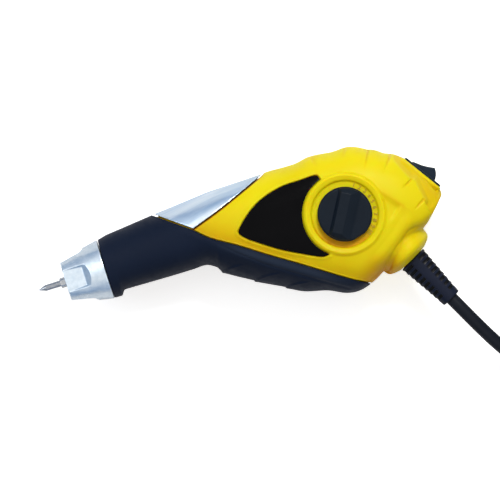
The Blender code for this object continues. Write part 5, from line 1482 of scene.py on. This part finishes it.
def tube(name, points, radius):
    """Curve data of a round tube that follows the points."""
    data = bpy.data.curves.new(name, "CURVE")
    data.dimensions = "3D"
    data.bevel_depth = radius
    data.bevel_resolution = 5
    data.use_fill_caps = True
    spline = data.splines.new("POLY")
    spline.points.add(len(points) - 1)
    for point, place in zip(spline.points, points):
        point.co = (*place, 1)
    return data


def make_cord():
    points, way = cord_points()
    cord = link("supply_cord", tube("supply_cord", points, CORD_RADIUS))
    cord.data.materials.append(FINISHES["cord"])
    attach(cord, "pen")
    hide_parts("cord_free", "cord_coil")
    plug = make_plug(points[-1], way)


# The plug: places along it with the half width and the half height there, its
# grip ribs and its pins
PLUG = [
    (0.0, 0.00585, 0.0057), (0.0006, 0.0065, 0.0064), (0.0058, 0.0067, 0.0069),
    (0.0082, 0.0078, 0.0069), (0.0120, 0.0112, 0.0069), (0.0160, 0.0150, 0.0069),
    (0.0190, 0.0170, 0.0069), (0.0205, 0.0175, 0.0069), (0.0330, 0.0175, 0.0069),
    (0.0352, 0.0171, 0.0069), (0.0360, 0.0160, 0.0062),
]
PLUG_LENGTH = PLUG[-1][0]
PLUG_CORNER, PLUG_CORNER_SHARE, PLUG_ROUND = 0.0030, 0.6, 0.0002
RIBS, RIB_START, RIB_PITCH, RIB_WIDTH, RIB_HALF = 4, 0.0235, 0.0023, 0.0010, 0.0040
RIB_OUTSIDE, RIB_DEPTH = 0.0180, 0.0011
PIN_OFFSET = 0.0093
PIN = [(0, 0), (0, 0.0020), (0.0170, 0.0020), (0.0184, 0.0015), (0.0190, 0.0007), (0.0190, 0)]


def make_plug(end, way):
    sections = []
    for along, half, tall in PLUG:
        corner = min(PLUG_CORNER, half * PLUG_CORNER_SHARE, tall * PLUG_CORNER_SHARE)
        sections.append([(along, y, z) for y, z in rounded(half, tall, corner)])
    body = lofted("plug", sections)
    for index in range(RIBS):
        along = RIB_START + RIB_PITCH * index
        for side in (-1, 1):
            low, high = sorted((side * RIB_OUTSIDE, side * (RIB_OUTSIDE - RIB_DEPTH)))
            cut(body, box("rib", (along, low, -RIB_HALF), (along + RIB_WIDTH, high, RIB_HALF)))
    rounded_edges(body, PLUG_ROUND, 2, 50)
    place = Matrix.Translation((end.x + way.x * GAP, end.y + way.y * GAP, PLUG_Z))
    place = place @ Matrix.Rotation(math.atan2(way.y, way.x), 4, "Z")
    moved(body, place)
    dress(body, "plug_fine", "pen", "black_cord", "boot", "plug_body")
    pieces = [body]
    for number, y in ((1, -PIN_OFFSET), (2, PIN_OFFSET)):
        pin = turned("pin", [(PLUG_LENGTH + GAP + along, radius) for along, radius in PIN], 48)
        moved(pin, place @ Matrix.Translation((0, y, 0)))
        name, node = f"plug_pin_fine_{number}", f"plug_pin_{number}"
        pieces.append(dress(pin, name, "pen", "nickelled_brass", "brass", node))
    return pieces


# The parts inside keep their CAD meshes and take finer materials
INSIDE = {
    "bronze": ["nose_bush"],
    "steel": [
        "drive_shaft", "needle_set_screw", "spring_washer", "dial_shaft",
        "clamp_screw_1", "clamp_screw_2",
        "housing_screw_1", "housing_screw_2", "housing_screw_3", "housing_screw_4",
    ],
    "iron": ["plunger", "magnet_yoke"],
    "nylon": ["coil_bobbin", "friction_washer", "stroke_cam", "cord_clamp"],
    "copper": ["coil_winding"],
    "brass": ["switch_terminal_1", "switch_terminal_2"],
    "cord": ["supply_lead"],
}


def dress_inside():
    for finish, names in INSIDE.items():
        for name in names:
            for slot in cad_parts[name].material_slots:
                slot.link = "OBJECT"
                slot.material = FINISHES[finish]


# Light, floor and background. A sky goes from its low colour to white toward an
# axis; glossy rays see one of them, other rays see the other, and the camera
# sees plain white.
GLOSSY_SKY = ((0.05, 0.05, 0.99), 0.16, 0.70, (0.20, 0.33, 0.52), 1.0)
SOFT_SKY = ((0.06, 0.30, 0.95), 0.30, 0.97, (0.42, 0.35, 0.27), 0.57)
LAMPS = [
    ("key", (0.22, 0.70, 1.05), 0.40, 9.7, (1.0, 0.99, 0.97)),
    ("fill", (-0.80, 0.10, 0.80), 0.60, 1.8, (0.90, 0.95, 1.0)),
    ("low", (0.45, -0.50, 0.80), 0.60, 0.7, (1.0, 0.95, 0.88)),
]
LAMP_AIM = Vector((0.0, 0.0, 0.02))
FLOOR_HALF = 6.0
FLOOR_GLOW = 0.64


def make_light():
    world = bpy.data.worlds.new("studio")
    bpy.context.scene.world = world
    world.use_nodes = True
    world.node_tree.nodes.clear()
    n = Tree(world.node_tree)
    around = n.add("ShaderNodeTexCoord").outputs["Generated"]
    rays = n.add("ShaderNodeLightPath").outputs

    def sky(axis, least, most, low, strength):
        toward = n.add("ShaderNodeVectorMath", operation="DOT_PRODUCT")
        toward.inputs[1].default_value = axis
        n.join(around, toward.inputs[0])
        share = n.ranged(toward.outputs["Value"], 0, 1, least, most)
        shown = n.add("ShaderNodeBackground")
        shown.inputs["Strength"].default_value = strength
        n.join(n.mixed(share, low, (1, 1, 1)), shown.inputs["Color"])
        return shown.outputs[0]

    def chosen(share, first, second):
        mix = n.add("ShaderNodeMixShader")
        for value, socket in zip((share, first, second), mix.inputs):
            n.join(value, socket)
        return mix.outputs[0]

    white = n.add("ShaderNodeBackground")
    white.inputs["Color"].default_value = (1, 1, 1, 1)
    seen = n.add("ShaderNodeMath", operation="MAXIMUM")
    n.join(rays["Is Camera Ray"], seen.inputs[0])
    n.join(rays["Is Transmission Ray"], seen.inputs[1])
    lit = chosen(rays["Is Glossy Ray"], sky(*SOFT_SKY), sky(*GLOSSY_SKY))
    out = n.add("ShaderNodeOutputWorld")
    n.join(chosen(seen.outputs[0], lit, white.outputs[0]), out.inputs["Surface"])
    for name, place, size, power, colour in LAMPS:
        data = bpy.data.lights.new(name, "AREA")
        data.shape = "DISK"
        data.size = size
        data.energy = power
        data.color = colour
        light = link(name, data)
        light.location = place
        aim = LAMP_AIM - Vector(place)
        light.rotation_euler = aim.to_track_quat("-Z", "Y").to_euler()


def make_floor():
    """A pale card that keeps the pen's shadow and glows a little for the camera."""
    bm = bmesh.new()
    corners = ((-1, -1), (1, -1), (1, 1), (-1, 1))
    bm.faces.new([bm.verts.new((x * FLOOR_HALF, y * FLOOR_HALF, 0)) for x, y in corners])
    mesh = bpy.data.meshes.new("floor")
    bm.to_mesh(mesh)
    bm.free()
    floor = link("floor", mesh)
    n = Finish("floor_card", (0.86, 0.86, 0.86), 0.9, 0.0, 0.0)
    n.colour(n.clouded(3, 2, (0.835, 0.852, 0.885), (0.855, 0.872, 0.905)))
    n.inputs["Emission Color"].default_value = (1, 1, 1, 1)
    glow = n.add("ShaderNodeMath", operation="MULTIPLY")
    glow.inputs[1].default_value = FLOOR_GLOW
    n.join(n.add("ShaderNodeLightPath").outputs["Is Camera Ray"], glow.inputs[0])
    n.join(glow.outputs[0], n.inputs["Emission Strength"])
    mesh.materials.append(n.material)


bpy.context.scene.view_settings.view_transform = "Standard"
FINISHES = make_finishes()
make_camera()
make_cord()
make_housing()
make_nose()
make_needle()
make_dial()
make_switch()
make_boot()
make_spring()
dress_inside()
make_light()
make_floor()
